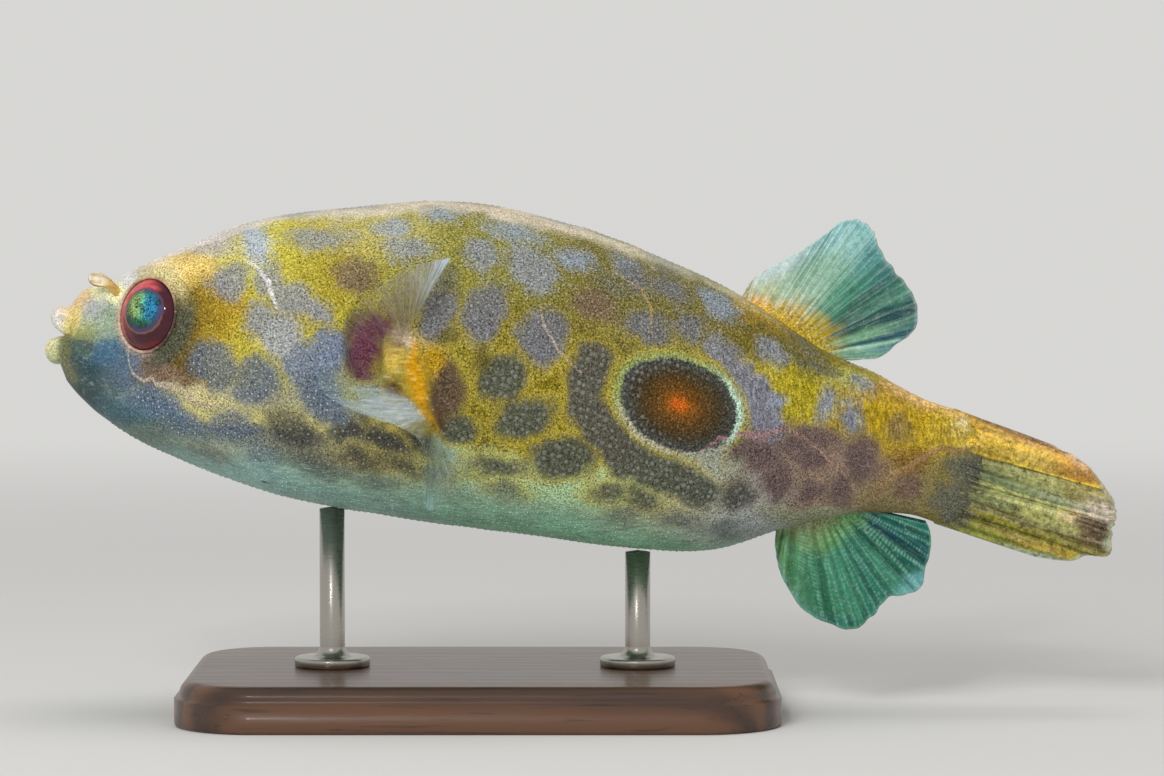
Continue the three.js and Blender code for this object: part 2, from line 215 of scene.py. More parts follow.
# A closed tube: a ring of points for each row along it, with both end rings shrunk to a point.
def tubeShell(rings, values):
    return flat(rings), [gridFaces(len(rings), rings.shape[1], closed=True)], values


# A thin closed shell round a sheet: the sheet's grid moved by half its thickness to each side
# along its normals, and the two joined by a strip round the sheet's edge.
def sheetShell(sheet, half, values):
    shift = half[..., None] * gridNormals(sheet)
    rows, columns = half.shape
    count = rows * columns
    points = np.concatenate([flat(sheet + shift), flat(sheet - shift)])
    across, down = np.arange(columns), np.arange(rows) * columns
    edge = np.concatenate([across, down[1:] + columns - 1, down[-1] + across[-2::-1], down[-2:0:-1]])
    after = np.roll(edge, -1)
    strip = np.stack([after, edge, edge + count, after + count], axis=-1)
    faces = gridFaces(rows, columns)
    both = {key: np.concatenate([flat(value), flat(value)]) for key, value in values.items()}
    return points, [faces, faces[:, ::-1] + count, strip], both


class Nodes:
    # Builds a material's node tree. Any input may be a number, a colour or another node's output.
    def __init__(self, name):
        self.material = bpy.data.materials.new(name)
        self.material.use_nodes = True
        self.tree = self.material.node_tree
        self.shader = self.tree.nodes["Principled BSDF"]

    # Sets one input, or links another node's output to it.
    def feed(self, node, key, value):
        if isinstance(value, bpy.types.NodeSocket):
            self.tree.links.new(value, node.inputs[key])
        else:
            socket = node.inputs[key]
            wide = hasattr(socket.default_value, "__len__") and len(socket.default_value) == 4
            socket.default_value = (*value, 1) if wide else value

    def add(self, kind, inputs=None, **settings):
        node = self.tree.nodes.new(kind)
        for key, value in settings.items():
            setattr(node, key, value)
        for key, value in (inputs or {}).items():
            self.feed(node, key, value)
        return node

    def math(self, operation, a, b=0.0, c=0.0):
        return self.add("ShaderNodeMath", {0: a, 1: b, 2: c}, operation=operation).outputs[0]

    def plus(self, a, b):
        return self.math("ADD", a, b)

    def less(self, a, b):
        return self.math("SUBTRACT", a, b)

    def times(self, a, b):
        return self.math("MULTIPLY", a, b)

    # Distance of (a, b) from zero.
    def reach(self, a, b):
        return self.math("SQRT", self.plus(self.times(a, a), self.times(b, b)))

    # The colour a with an amount of b over it.
    def mix(self, amount, a, b, blend="MIX"):
        node = self.add("ShaderNodeMix", data_type="RGBA", blend_type=blend, clamp_factor=True)
        for key, value in ((0, amount), (6, a), (7, b)):
            self.feed(node, key, value)
        return node.outputs[2]

    def value(self, name):
        return self.add("ShaderNodeAttribute", attribute_name=name).outputs["Fac"]

    def colour(self, name):
        return self.add("ShaderNodeAttribute", attribute_name=name).outputs["Color"]

    def place(self):
        return self.add("ShaderNodeTexCoord").outputs["Object"]

    # Noise from 0 to 1, over Object coordinates unless another vector is given.
    def noise(self, scale, detail=2.0, rough=0.5, vector=None):
        inputs = {"Vector": vector or self.place(), "Scale": scale, "Detail": detail, "Roughness": rough}
        return self.add("ShaderNodeTexNoise", inputs).outputs["Fac"]

    # 0 at low, 1 at high, and an S-curve between.
    def fade(self, value, low, high):
        node = self.add("ShaderNodeMapRange", interpolation_type="SMOOTHSTEP")
        for key, entry in (("Value", value), ("From Min", low), ("From Max", high)):
            self.feed(node, key, entry)
        return node.outputs["Result"]

    # Colours by value, from stops of (place, colour).
    def ramp(self, value, stops):
        node = self.add("ShaderNodeValToRGB", {"Fac": value})
        elements = node.color_ramp.elements
        while len(elements) < len(stops):
            elements.new(1.0)
        for element, (place, shade) in zip(elements, stops):
            element.position = place
            element.color = (*tint(*shade), 1)
        return node.outputs["Color"]

    # Object coordinates stretched along each axis.
    def stretched(self, factors):
        node = self.add("ShaderNodeVectorMath", {0: self.place(), 1: factors}, operation="MULTIPLY")
        return node.outputs[0]

    # A straight line from (low, toLow) to (high, toHigh), level beyond both.
    def scale(self, value, low, high, toLow, toHigh):
        inputs = {0: value, 1: low, 2: high, 3: toLow, 4: toHigh}
        return self.add("ShaderNodeMapRange", inputs).outputs["Result"]

    def bump(self, height, strength, distance):
        inputs = {"Height": height, "Strength": strength, "Distance": distance}
        return self.add("ShaderNodeBump", inputs).outputs["Normal"]

    # Sets the shader's inputs, with _ for each space in their names.
    def finish(self, **inputs):
        for key, value in inputs.items():
            self.feed(self.shader, key.replace("_", " "), value)
        return self.material


skin = {
    "columns": 240,
    "depth": 0.12,  # lies this far inside the solids, under the spinules
    "headStep": 0.2,  # ring spacing on the head
    "bodyStep": 0.33,
    "frontRing": 3.0,  # x of the first ring behind the lips
    "tailRings": 8,
    "tailReach": 3.0,
    "tailTaper": 0.3,  # share by which the last ring narrows
    "uneven": 0.07,  # height of its soft bumps
    "ridge": 0.14,  # height of the fine lines
}
lips = {
    "middle": 0.1,  # height of the slit
    "slitHalf": 2.2,
    "upperOpen": 0.6,
    "lowerOpen": 0.45,
    "cornerRoll": 0.5,
    "upperRoll": 1.22,
    "lowerRoll": 1.5,
    "rollForward": 1.3,  # a roll stands no further forwards than this
    "upperFront": 1.35,  # x of the roll's middle at the front
    "lowerFront": 1.45,
    "corner": 2.9,  # and at the corner of the mouth
    "throat": 5.5,
}
eye = {
    "radius": 4.3,
    "depth": 2.9,
    "forward": 38.0,
    "up": 4.0,
    "opening": 4.0,  # radius of the lids' opening
    "rimHeight": 1.3,  # lids' height over the eye's middle plane
    "reach": 8.5,  # where the mound has faded into the head
    "under": 1.3,  # how far the skin dips under the eyeball
    "behind": -4.5,  # points further behind the middle plane stay in place
}
gill = {"x": 35.5, "z": 4.8, "halfHeight": 4.9, "halfWidth": 2.3, "depth": 1.5, "lip": 0.35, "lean": 12.0}
finLobe = {"x": 40.8, "z": 1.9, "halfHeight": 6.4, "halfWidth": 2.6, "rise": 1.6, "lean": 31.0}


# The body's section at x as two half superellipses that share the widest point.
def skinPoint(x, angle):
    x, angle = np.broadcast_arrays(np.asarray(x, float), np.asarray(angle, float))
    top, bottom, halfWidth, middle = np.moveaxis(along(body["stations"], x), -1, 0)
    up, side = np.sin(angle), np.cos(angle)
    power = 2 / np.where(up > 0, body["backRound"], body["bellyRound"])
    reach = np.where(up > 0, top - middle, middle - bottom)
    y = halfWidth * np.sign(side) * np.abs(side) ** power
    z = middle + reach * np.sign(up) * np.abs(up) ** power
    return np.stack([x, y, z], axis=-1)


# How far the flank stands out from the mid plane at (x, z).
def flank(x, z):
    top, bottom, halfWidth, middle = np.moveaxis(along(body["stations"], x), -1, 0)
    power = np.where(z > middle, body["backRound"], body["bellyRound"])
    share = np.abs(z - middle) / np.where(z > middle, top - middle, middle - bottom)
    return halfWidth * np.maximum(1 - np.minimum(share, 1) ** power, 0) ** (1 / power)


# The mouth for each angle round it: from a point in the throat, forwards along the wall of the
# slit, round the roll of the lip from inside to outside, then back to the first body ring.
def mouthRings(angle, firstRing):
    side, up = np.cos(angle), np.sin(angle)
    opening = np.where(up > 0, lips["upperOpen"], lips["lowerOpen"])
    frontRoll = np.where(up > 0, lips["upperRoll"], lips["lowerRoll"])
    front = np.where(up > 0, lips["upperFront"], lips["lowerFront"])
    roll = lips["cornerRoll"] + (frontRoll - lips["cornerRoll"]) * np.abs(up) ** 1.2
    edgeY, edgeZ = lips["slitHalf"] * side, lips["middle"] + opening * up
    rollX = front + (lips["corner"] - front) * (1 - np.abs(up)) ** 1.3
    rings = []
    for share in (0.0, 0.35, 0.6, 0.8, 0.93):
        x = lips["throat"] + (rollX - lips["throat"]) * share**1.5
        y, z = edgeY * share**0.5, lips["middle"] + (edgeZ - lips["middle"]) * share**0.5
        rings.append(np.stack([x, y, z], axis=-1))
    for turn in np.radians(np.linspace(180, -25, 18)):
        out = roll * (1 + math.cos(turn))
        x = rollX - np.minimum(roll, lips["rollForward"]) * math.sin(turn)
        rings.append(np.stack([x, edgeY + out * side, edgeZ + out * up], axis=-1))
    outside = rings[-1]
    for share in (0.25, 0.5, 0.75):
        rings.append(outside * (1 - share) + firstRing * share)
    return np.array(rings)


# The eye's middle on one side: -1 is left, 1 is right.
def eyeAt(side):
    return np.array([body["eye"][0], side * body["eye"][1], body["eye"][2]])


# Its line of sight.
def sightOf(side):
    yaw, lift = math.radians(eye["forward"]), math.radians(eye["up"])
    across = math.cos(yaw) * math.cos(lift)
    return np.array([-math.sin(yaw) * math.cos(lift), side * across, math.sin(lift)])


# Height over the eye's middle plane and distance from its line of sight, for each point.
def fromEye(points, side):
    away = points - eyeAt(side)
    height = away @ sightOf(side)
    return height, np.linalg.norm(away - height[..., None] * sightOf(side), axis=-1)


# Draws the skin into a level rim round each eye and dips it under the eyeball. Points only move
# along the line of sight. Outside the rim they move by what the rim there needed, fading out.
def shapeEyes(points):
    points = points.copy()
    for side in (-1, 1):
        height, radius = fromEye(points, side)
        ball = eye["depth"] * np.sqrt(np.clip(1 - (radius / eye["radius"]) ** 2, 0, 1))
        inside = ease(eye["opening"] - 0.25, eye["opening"] + 0.05, radius)
        facing = (side * points[..., 1] > 0) & (height > eye["behind"])
        middleHeight = height[facing][np.argmin(radius[facing])]
        share = np.minimum(1, eye["opening"] / np.maximum(radius, 0.1))
        atRim = middleHeight + (height - middleHeight) * share
        lift = (eye["rimHeight"] - atRim) * (1 - ease(eye["opening"] + 0.3, eye["reach"], radius))
        lift = lift * inside + (ball - eye["under"] - height) * (1 - inside)
        points += (lift * facing)[..., None] * sightOf(side)
    return points


# 1 in the middle of an ellipse on the flank that leans back from the top, 0 at its edge and
# negative outside.
def onFlank(points, shape):
    lean = math.radians(shape["lean"])
    dx, dz = points[..., 0] - shape["x"], points[..., 2] - shape["z"]
    down = (dx * math.sin(lean) - dz * math.cos(lean)) / shape["halfHeight"]
    across = (dx * math.cos(lean) + dz * math.sin(lean)) / shape["halfWidth"]
    return 1 - np.hypot(down, across)


angles = np.linspace(0, 2 * np.pi, skin["columns"], endpoint=False)
ringsX = np.concatenate(
    [
        np.arange(skin["frontRing"], 20, skin["headStep"]),
        np.arange(20, body["length"], skin["bodyStep"]),
    ]
)
flesh = skinPoint(ringsX[:, None], angles[None, :])
fleshNormal = gridNormals(flesh, closed=True)
flesh = flesh - skin["depth"] * fleshNormal

# The fin lobe stands out, the gill opening sinks in, and a soft lip runs round the opening.
bulge = finLobe["rise"] * np.clip(onFlank(flesh, finLobe), 0, 1) ** 0.6
bulge -= gill["depth"] * ease(0.0, 0.35, onFlank(flesh, gill))
bulge += gill["lip"] * np.exp(-((onFlank(flesh, gill) + 0.12) / 0.1) ** 2)
bulge += skin["uneven"] * softNoise(flesh, 2.6, 3)
flesh = shapeEyes(flesh + bulge[..., None] * fleshNormal)

# The tail end narrows until it is under the tail fin's root, and closes there.
last = flesh[-1]
centre = last.mean(axis=0)
tailRings = []
for k in range(1, skin["tailRings"] + 1):
    share = k / skin["tailRings"]
    ring = centre + (last - centre) * np.where(share < 1, 1 - skin["tailTaper"] * share**1.2, 0.0)
    ring[:, 0] += skin["tailReach"] * share
    tailRings.append(ring)
mouth = mouthRings(angles, flesh[0])
surface = np.concatenate([mouth, flesh, np.array(tailRings)])
mouthCount = len(mouth)
normals = gridNormals(surface, closed=True)
print("skin worked out:", surface.shape)


# Each tone has a colour, and the paleness and radius of the spinules that stand in it. Its spots
# may swell by a factor, and fixed ones lie in the same place on both flanks.
tones = {
    "wine": {"colour": (92, 28, 66), "tip": 0.0, "tipRadius": 0.1, "fixed": True},
    "orange": {"colour": (213, 156, 10), "tip": 0.0, "tipRadius": 0.1, "fixed": True},
    "gold": {"colour": (176, 138, 6), "tip": 0.0, "tipRadius": 0.1, "fixed": True},
    "cream": {"colour": (255, 232, 205), "tip": 0.0, "tipRadius": 0.1, "fixed": True},
    "olive": {"colour": (230, 198, 84), "tip": 0.0, "tipRadius": 0.1, "fixed": True},
    "bark": {"colour": (87, 68, 54), "tip": 0.1, "tipRadius": 0.12, "fixed": True},
    "maroon": {"colour": (66, 30, 28), "tip": 0.0, "tipRadius": 0.1, "fixed": True},
    # shade is painted shade on the flank behind the chest fin's root.
    "shade": {"colour": (92, 84, 30), "tip": 0.1, "tipRadius": 0.12, "fixed": True},
    "mist": {"colour": (131, 137, 148), "swell": 1.08, "tip": 0.3, "tipRadius": 0.2},
    "pale": {"colour": (162, 178, 208), "swell": 1.08, "tip": 0.3, "tipRadius": 0.2},
    "haze": {"colour": (94, 95, 80), "swell": 1.08, "tip": 0.25, "tipRadius": 0.2},
    "blue": {"colour": (138, 152, 170), "swell": 1.08, "tip": 0.25, "tipRadius": 0.2},
    "lavender": {"colour": (152, 158, 172), "swell": 1.08, "tip": 0.8, "tipRadius": 0.16},
    "dusk": {"colour": (106, 121, 148), "swell": 1.08, "tip": 0.9, "tipRadius": 0.15},
    "slate": {"colour": (103, 105, 117), "swell": 1.08, "tip": 0.35, "tipRadius": 0.2},
    "band": {"colour": (77, 76, 70), "tip": 0.23, "tipRadius": 0.37},
    "moss": {"colour": (73, 78, 66), "tip": 0.24, "tipRadius": 0.37},
    "cheek": {"colour": (83, 98, 120), "swell": 1.08, "tip": 1.0, "tipRadius": 0.15},
    "rust": {"colour": (111, 89, 73), "tip": 0.15, "tipRadius": 0.18},
    "plum": {"colour": (100, 82, 80), "tip": 0.0, "tipRadius": 0.2},
    "lilac": {"colour": (122, 124, 138), "tip": 0.2, "tipRadius": 0.22},
    "tan": {"colour": (134, 112, 61), "tip": 0.1, "tipRadius": 0.15},
    "streak": {"colour": (56, 56, 56), "tip": 0.5, "tipRadius": 0.18},
    "faint": {"colour": (90, 103, 98), "tip": 0.15, "tipRadius": 0.2},
}
# Spots on the left flank as (x, z, half length, half height, rise towards the tail in degrees).
spots = {
    "wine": [(35.3, 5.2, 1.7, 3.4, 0), (35.8, 2.2, 1.1, 0.8, 0), (36.8, 7.5, 1.5, 1.3, 30)],
    "gold": [(43.3, 4.5, 1.2, 2.1, 15)],
    "cream": [(39.6, 6.9, 1.3, 0.8, -10)],
    "olive": [(38.9, 4.6, 1.0, 1.5, 10)],
    "bark": [(45.1, 1.5, 1.9, 3.8, 8)],
    "maroon": [(45.2, -1.4, 0.8, 1.5, 20), (39.5, 1.8, 0.7, 0.9, 0)],
    # Painted shade behind the chest fin's root.
    "shade": [(43.8, 7.8, 1.2, 1.0, 0), (48.4, 4.9, 0.9, 2.2, 10)],
    "mist": [
        (79.4, 11.6, 1.6, 1, -22),
        (25.2, 17.6, 1.8, 0.9, 0),
        (31.8, 19.5, 2.2, 0.8, 0),
        (54.6, 21.6, 2, 0.7, 0),
        (66.2, 19.6, 1.8, 0.7, 0),
        (28.5, 15.5, 2.9, 1, 6),
        (19.6, 9.3, 2.1, 1.8, 0),
        (24.2, 10, 2.3, 1.4, -50),
        (27.1, 8.3, 2.4, 1.7, -15),
        (29.6, 7.7, 1.5, 1.2, 0),
        (23.9, 6.1, 1.7, 1.6, -30),
        (38.6, 15.9, 2.2, 1.2, 0),
        (46.3, 16.7, 1.8, 1.5, 0),
        (52, 16, 2.8, 1.8, -28),
        (86.4, 6.6, 1, 1.5, 0),
        (89.3, 5.8, 0.9, 1.5, 0),
        (89.6, 9.2, 1.2, 0.7, -15),
    ],
    "pale": [(21.8, 13.6, 2.4, 1.3, -62)],
    "haze": [
        (44.9, 22, 1.6, 0.6, 0),
        (60.2, 20.7, 1.9, 0.7, 0),
        (71.4, 18.1, 1.5, 0.6, 0),
        (66.2, 18.4, 1.4, 0.6, -20),
        (83, 12.6, 1.9, 0.8, -25),
        (84.9, 10.3, 1.8, 0.8, -12),
        (42.4, 13.6, 1.4, 1.3, 0),
        (60.9, 15.6, 1.6, 0.8, -18),
        (102.9, 2, 1.8, 1.8, 0),
        (102.4, -2.2, 2.2, 2.3, 0),
    ],
    "blue": [
        (36.2, 17.8, 1.6, 0.9, 0),
        (41.1, 20.4, 1.7, 0.8, 0),
        (49.3, 19.6, 2.6, 0.8, -5),
        (56.4, 17.9, 1.8, 1, -12),
        (62, 18.2, 1.1, 0.7, -20),
        (72.7, 15.4, 2, 1.1, -25),
        (77.5, 7, 1.2, 1.3, -40),
        (80.2, 5.9, 1.3, 1.2, 0),
    ],
    "lavender": [(26.2, 4.3, 2.8, 1.8, -38)],
    "dusk": [(31.6, 3.6, 1.8, 2.3, 0), (29.1, 2.2, 2.4, 1.8, -48)],
    "slate": [
        (42.7, 9.9, 1.8, 3.1, -8),
        (47.8, 10.9, 2.2, 3.1, -12),
        (54.3, 9, 2.4, 2.9, -20),
        (62.9, 17.4, 2.3, 1, -38),
        (66.9, 16.2, 1.9, 0.9, -18),
        (65.3, 12, 2.3, 1.4, -15),
        (69.9, 12.7, 1.8, 1.3, -20),
    ],
    "moss": [
        (50.6, 4.2, 2.6, 2.7, 10),
        (53.9, 0.2, 3.3, 2.2, 33),
        (58.5, -3.5, 3.5, 2.2, 14),
        (51.9, -5.6, 2.9, 1, 6),
        (64, -6.4, 2, 1.1, 10),
        (67.9, -6.8, 1.9, 1.2, -20),
        (47, -2.1, 1.9, 1.6, 0),
    ],
    "cheek": [
        (19.6, -0.1, 2.7, 2.2, -25),
        (24.3, -1, 2.4, 2.5, -20),
        (31.3, -0.6, 4.3, 1.9, -50),
        (33.9, -3.3, 2.2, 1, -36),
        (14.2, -5.3, 2.9, 1.5, -12),
        (17.4, -6.9, 2.5, 1.5, -10),
        (22.7, -5.9, 2.7, 1.6, -8),
        (26.1, -8.8, 1.9, 0.9, -8),
    ],
    "rust": [
        (33.2, 12.4, 2.4, 1.9, 0),
        (59.4, 13.1, 2.3, 1.6, -20),
        (96.8, -1, 1.7, 1.6, 10),
    ],
    "tan": [(94.8, 5, 1.4, 1.5, 0)],
    "band": [(78, -4.9, 1.9, 1.7, 0)],
    "plum": [
        (82.4, -2.8, 1.5, 2.2, 0),
        (86.2, -3.4, 1.1, 1.2, 0),
        (85.3, 0.4, 2, 1.2, 0),
        (89.4, -2.5, 1.2, 1.9, 0),
        (91.1, 1.4, 1.9, 2.6, 0),
        (85.9, 3.2, 2.3, 0.9, -10),
        (77.7, 0.3, 1.3, 1.2, 0),
        (79.9, -0.2, 2, 1.7, 0),
        (83.4, 2, 1.7, 1, 0),
    ],
    "streak": [
        (29.4, -5.3, 3.2, 1.7, -14),
        (32.2, -8.5, 2.4, 0.9, -6),
        (35, -4.4, 2.6, 1.2, -18),
        (39.2, -4.7, 3.4, 1.2, -22),
        (43.2, -4.2, 2, 1.2, -22),
        (37, -7.1, 2.4, 0.9, -10),
        (41.6, -7, 2.8, 0.8, -10),
    ],
    "faint": [
        (32.6, -9.1, 3.2, 1.1, -8),
        (20.6, -9.6, 2, 0.7, -12),
        (38.8, -9.4, 2.2, 0.8, -6),
        (45, -7.4, 1.8, 0.9, 0),
        (66.4, -9, 1.8, 1, 0),
        (72.5, -8.3, 2.3, 0.9, 0),
        (77.6, -8.7, 2, 1, 0),
        (53, -8.3, 1.6, 0.8, 0),
    ],
}
# Bands as runs of (x, z, half width).
bands = {
    "orange": [
        (40.9, 6.2, 0.5),
        (41.1, 4.6, 0.85),
        (41.6, 2.8, 0.95),
        (42.4, 1, 0.85),
        (43.4, -0.7, 0.6),
        (44.6, -2, 0.25),
    ],
    "band": [
        (60.4, 7.4, 2.2),
        (59.6, 5, 2.1),
        (59.8, 2.8, 2.1),
        (61.6, 0.6, 2.1),
        (63.8, -0.8, 2.2),
        (66.4, -2.6, 2.4),
    ],
    "moss": [(66, -2.4, 2.3), (70.5, -4, 2.1), (74, -4.8, 2)],
    "lilac": [(72.8, 11.2, 1), (76.5, 8.6, 1.5), (79, 5.9, 2), (80.3, 3.4, 1.7)],
}
eyeSpot = {
    "x": 70.1,
    "z": 4.3,
    "halfLength": 6.6,
    "halfHeight": 4.8,
    "rise": -18.0,
    "tip": 0.24,  # paleness of the spinules in its dark border
    # colours out from the middle, by 0.8 of the radius
    "disc": [
        (0.0, (212, 102, 0)),
        (0.07, (198, 94, 0)),
        (0.15, (144, 82, 2)),
        (0.28, (104, 68, 12)),
        (0.5, (72, 54, 20)),
        (0.62, (62, 54, 38)),
        (0.7, (66, 64, 56)),
        (0.79, (66, 68, 66)),
    ],
}
# Ground colours as (x, z, reach along, reach up, colour); between them the colours blend.
grounds = [
    (0.9, 1.9, 1, 1.1, (226, 221, 216)),
    (0.6, 3.3, 1.4, 0.7, (226, 190, 158)),
    (0.3, -2, 0.7, 1.4, (225, 212, 162)),
    (1.2, -2.6, 0.7, 1.2, (202, 210, 156)),
    (2.7, -1.6, 0.6, 1.2, (108, 112, 78)),
    (2.9, 2.4, 1, 1.3, (234, 209, 123)),
    (2.8, 4.5, 1.4, 1, (220, 185, 135)),
    (5, 3.7, 1.3, 1.2, (172, 177, 176)),
    (6.9, 2.4, 1.6, 1.2, (150, 168, 142)),
    (4.6, 1.2, 1.6, 0.8, (157, 162, 99)),
    (5.8, 5.8, 1.4, 1, (240, 238, 181)),
    (7.7, -0.8, 1.5, 1.5, (74, 112, 138)),
    (5, -0.4, 1.2, 0.8, (83, 102, 95)),
    (5.6, -3, 1.6, 1.6, (51, 75, 80)),
    (8.2, -3.4, 1.2, 1, (81, 101, 102)),
    (9.6, -2.2, 1.4, 1.6, (92, 112, 130)),
    (3.2, -3.8, 1.2, 1.2, (105, 106, 79)),
    (5.4, -6, 2, 1.8, (56, 74, 74)),
    (9.4, -6.2, 2.6, 2, (67, 98, 106)),
    (8, 7.8, 1.4, 0.8, (214, 213, 215)),
    (9.5, 9.2, 2, 1, (180, 170, 138)),
    (11.6, 10, 2.4, 1, (246, 224, 172)),
    (14.4, 10, 2, 1.6, (212, 182, 92)),
    (15.4, 13, 3.5, 1.2, (175, 167, 160)),
    (16, 3.4, 1.6, 3, (88, 68, 14)),
    (13.6, -1.8, 2.2, 1.2, (129, 106, 86)),
    (12.4, -5, 3, 1.2, (106, 137, 156)),
    (19, 4.6, 2.4, 3, (158, 130, 26)),
    (24, 13, 4, 3, (206, 196, 70)),
    (23, 2.4, 3.5, 2.2, (188, 175, 60)),
    (24, -4.2, 9, 0.9, (211, 201, 122)),
    (16, -10, 7, 1.6, (100, 118, 108)),
    (29, 13, 5, 3.6, (166, 149, 36)),
    (34, 16, 5, 2, (186, 174, 93)),
    (45, 14.6, 8, 3, (137, 131, 52)),
    (38, 10, 4, 3, (151, 144, 54)),
    (34, -7.4, 8, 1.4, (118, 121, 108)),
    (50, 6.5, 7, 4.6, (105, 94, 7)),
    (57, 2, 3, 4, (134, 117, 3)),
    (62, 14.4, 8, 3, (115, 106, 46)),
    (56, -7, 9, 1.6, (171, 203, 153)),
    (30, -12, 16, 2, (152, 192, 184)),
    (60, -12, 14, 2, (156, 214, 180)),
    (45, -9.8, 14, 1.4, (152, 178, 150)),
    (70, -9.6, 6, 1.2, (154, 170, 139)),
    (76, -8.4, 6, 2, (161, 169, 168)),
    (83, 8.5, 5, 2.6, (174, 158, 28)),
    # The next two are painted shade on the body under the dorsal fin.
    (79, 13, 4, 2, (104, 91, 25)),
    (84, 11.2, 3, 1.2, (63, 64, 31)),
    (88, 10, 2, 0.8, (180, 178, 84)),
    (86, -0.5, 6, 3, (141, 120, 102)),
    (94, 6, 4.5, 2.5, (180, 150, 25)),
    (95, 9, 5, 0.9, (176, 140, 52)),
    (96, -2.5, 4, 2, (132, 120, 78)),
    (102, 6.4, 2.5, 2.4, (185, 158, 55)),
    (101.4, 7, 0.6, 0.8, (251, 238, 193)),
    (102, 0, 2.5, 3, (125, 113, 62)),
    (102, -4.2, 2.5, 1.6, (120, 108, 52)),
    (29, -3.6, 3.5, 1, (173, 170, 129)),
    (20.4, -3.6, 2.4, 0.8, (196, 184, 122)),
    (76.2, -1, 2.2, 1.5, (160, 166, 150)),
    (80.4, -4.2, 2, 2, (157, 154, 145)),
    (80.8, 0.2, 1.6, 2, (116, 100, 98)),
    (84.2, -1.8, 0.7, 2.2, (143, 130, 114)),
    (87.8, -1.4, 0.7, 1.8, (124, 104, 86)),
    (93.6, -1.6, 0.9, 2, (122, 98, 68)),
    (86, -6, 5, 0.8, (150, 154, 124)),
    (30, -13.5, 16, 0.8, (168, 206, 190)),
    (60, -13.2, 14, 0.8, (168, 226, 188)),
    (99, 5, 1.6, 1.2, (176, 150, 44)),
    (74, -2.8, 2, 0.9, (164, 168, 144)),
    (20, -3.3, 3, 0.7, (186, 178, 140)),
    (96.6, 2, 1.8, 1.5, (118, 88, 34)),
    (77.9, -3.2, 1.4, 1.2, (128, 124, 112)),
    (21, -9.6, 3.5, 0.9, (174, 174, 148)),
    (34.4, 0.4, 2, 1.6, (130, 142, 122)),
    (27, 0.8, 2.2, 1.6, (156, 152, 100)),
    (27.6, -2.9, 2.4, 1.1, (144, 142, 114)),
    (76.6, 15.9, 1.3, 0.7, (176, 146, 66)),
    (78.6, 14.9, 1.4, 0.7, (196, 154, 36)),
    (80.9, 13.7, 1.4, 0.7, (198, 156, 26)),
    (83.2, 12.6, 1.4, 0.7, (192, 152, 26)),
    (85.6, 11.6, 1.4, 0.6, (176, 148, 36)),
    (76.8, 0.4, 1.4, 1.1, (120, 112, 94)),
    (90.6, 4.7, 2, 1.4, (152, 130, 26)),
]
plainGround = (150, 140, 80)  # where none of them reaches
# The back's pale edge and painted highlight as (x, depth under the top outline, strength, red, green,
# blue).
backPaleAndHighlight = [
    (4, 0.4, 0.25, 216, 196, 170),
    (10, 0.45, 0.6, 232, 224, 214),
    (18, 0.7, 0.85, 216, 207, 200),
    (26, 0.75, 0.85, 212, 204, 186),
    (36, 0.75, 0.8, 214, 202, 182),
    (48, 0.75, 0.8, 228, 212, 190),
    (58, 0.8, 0.8, 218, 206, 182),
    (68, 0.65, 0.7, 210, 204, 174),
    (75, 0.5, 0.5, 200, 192, 156),
    (84, 0.4, 0.3, 130, 122, 72),
    (90, 0.6, 0.5, 200, 170, 112),
    (96, 1, 0.85, 232, 190, 128),
    (102, 0.6, 0.8, 224, 182, 100),
]
# Fine raised lines as runs of (x, z, half width), each with a colour.
lines = [
    ((40, 44, 44), [(26.7, -11.7, 0.2), (26.9, -11.7, 0.2)]),
    (
        (196, 186, 164),
        [(9.6, 0.2, 0.03), (10.3, -1.6, 0.06), (11.4, -2.6, 0.1), (12.6, -2.9, 0.22), (14.9, -2.9, 0.34)],
    ),
    ((180, 167, 138), [(14.9, -2.9, 0.34), (16.6, -3.3, 0.46), (18.6, -4.4, 0.42), (21.3, -4.3, 0.1)]),
    (
        (216, 214, 214),
        [(20.8, 12, 0.1), (22.7, 11.2, 0.2), (24, 10.1, 0.24), (24.6, 8.8, 0.2), (25.5, 7.4, 0.1)],
    ),
    ((190, 170, 150), [(53.4, 12.6, 0.05), (54.2, 10.2, 0.12), (56.5, 7.5, 0.11), (59, 6.2, 0.08)]),
    ((184, 160, 96), [(60.6, 17.2, 0.06), (64, 15.7, 0.1), (65.5, 13.8, 0.1), (65.8, 11.2, 0.08)]),
    (
        (152, 117, 121),
        [(73.4, -0.3, 0.14), (75.1, 1.3, 0.25), (77.2, 2, 0.24), (78.6, 1.8, 0.32), (79.6, 1.9, 0.66)],
    ),
    (
        (156, 120, 118),
        [(79.6, 1.9, 0.66), (80.6, 2.4, 0.38), (82.2, 3.4, 0.14), (84.4, 2.8, 0.1), (86.2, 1.5, 0.1)],
    ),
    ((166, 130, 116), [(86.2, 1.5, 0.12), (88.1, 0.1, 0.1), (90, -1, 0.08)]),
    (
        (152, 118, 78),
        [(94, -1.4, 0.1), (95.4, 0.2, 0.3), (98.3, 2.9, 0.36), (99.6, 3.9, 0.2), (102.4, 4, 0.15)],
    ),
    ((88, 58, 38), [(94.7, -0.5, 0.06), (95.7, 0.5, 0.2), (96.9, 1.5, 0.06)]),
]


# The skin round an eye as (colour, from radius, to radius, from degrees, to degrees, strength).
eyeRoundAndShade = [
    ((196, 184, 132), 4.0, 5.3, 30, 120, 0.8),
    # This row and the last one are painted shade behind the eye.
    ((72, 80, 66), 4.4, 5.9, -75, 25, 0.8),
    ((206, 192, 166), 4.0, 4.5, 115, 200, 0.7),
    ((186, 160, 140), 4.0, 4.4, -200, -60, 0.7),
    ((64, 60, 48), 4.1, 4.4, -60, 40, 0.8),
]


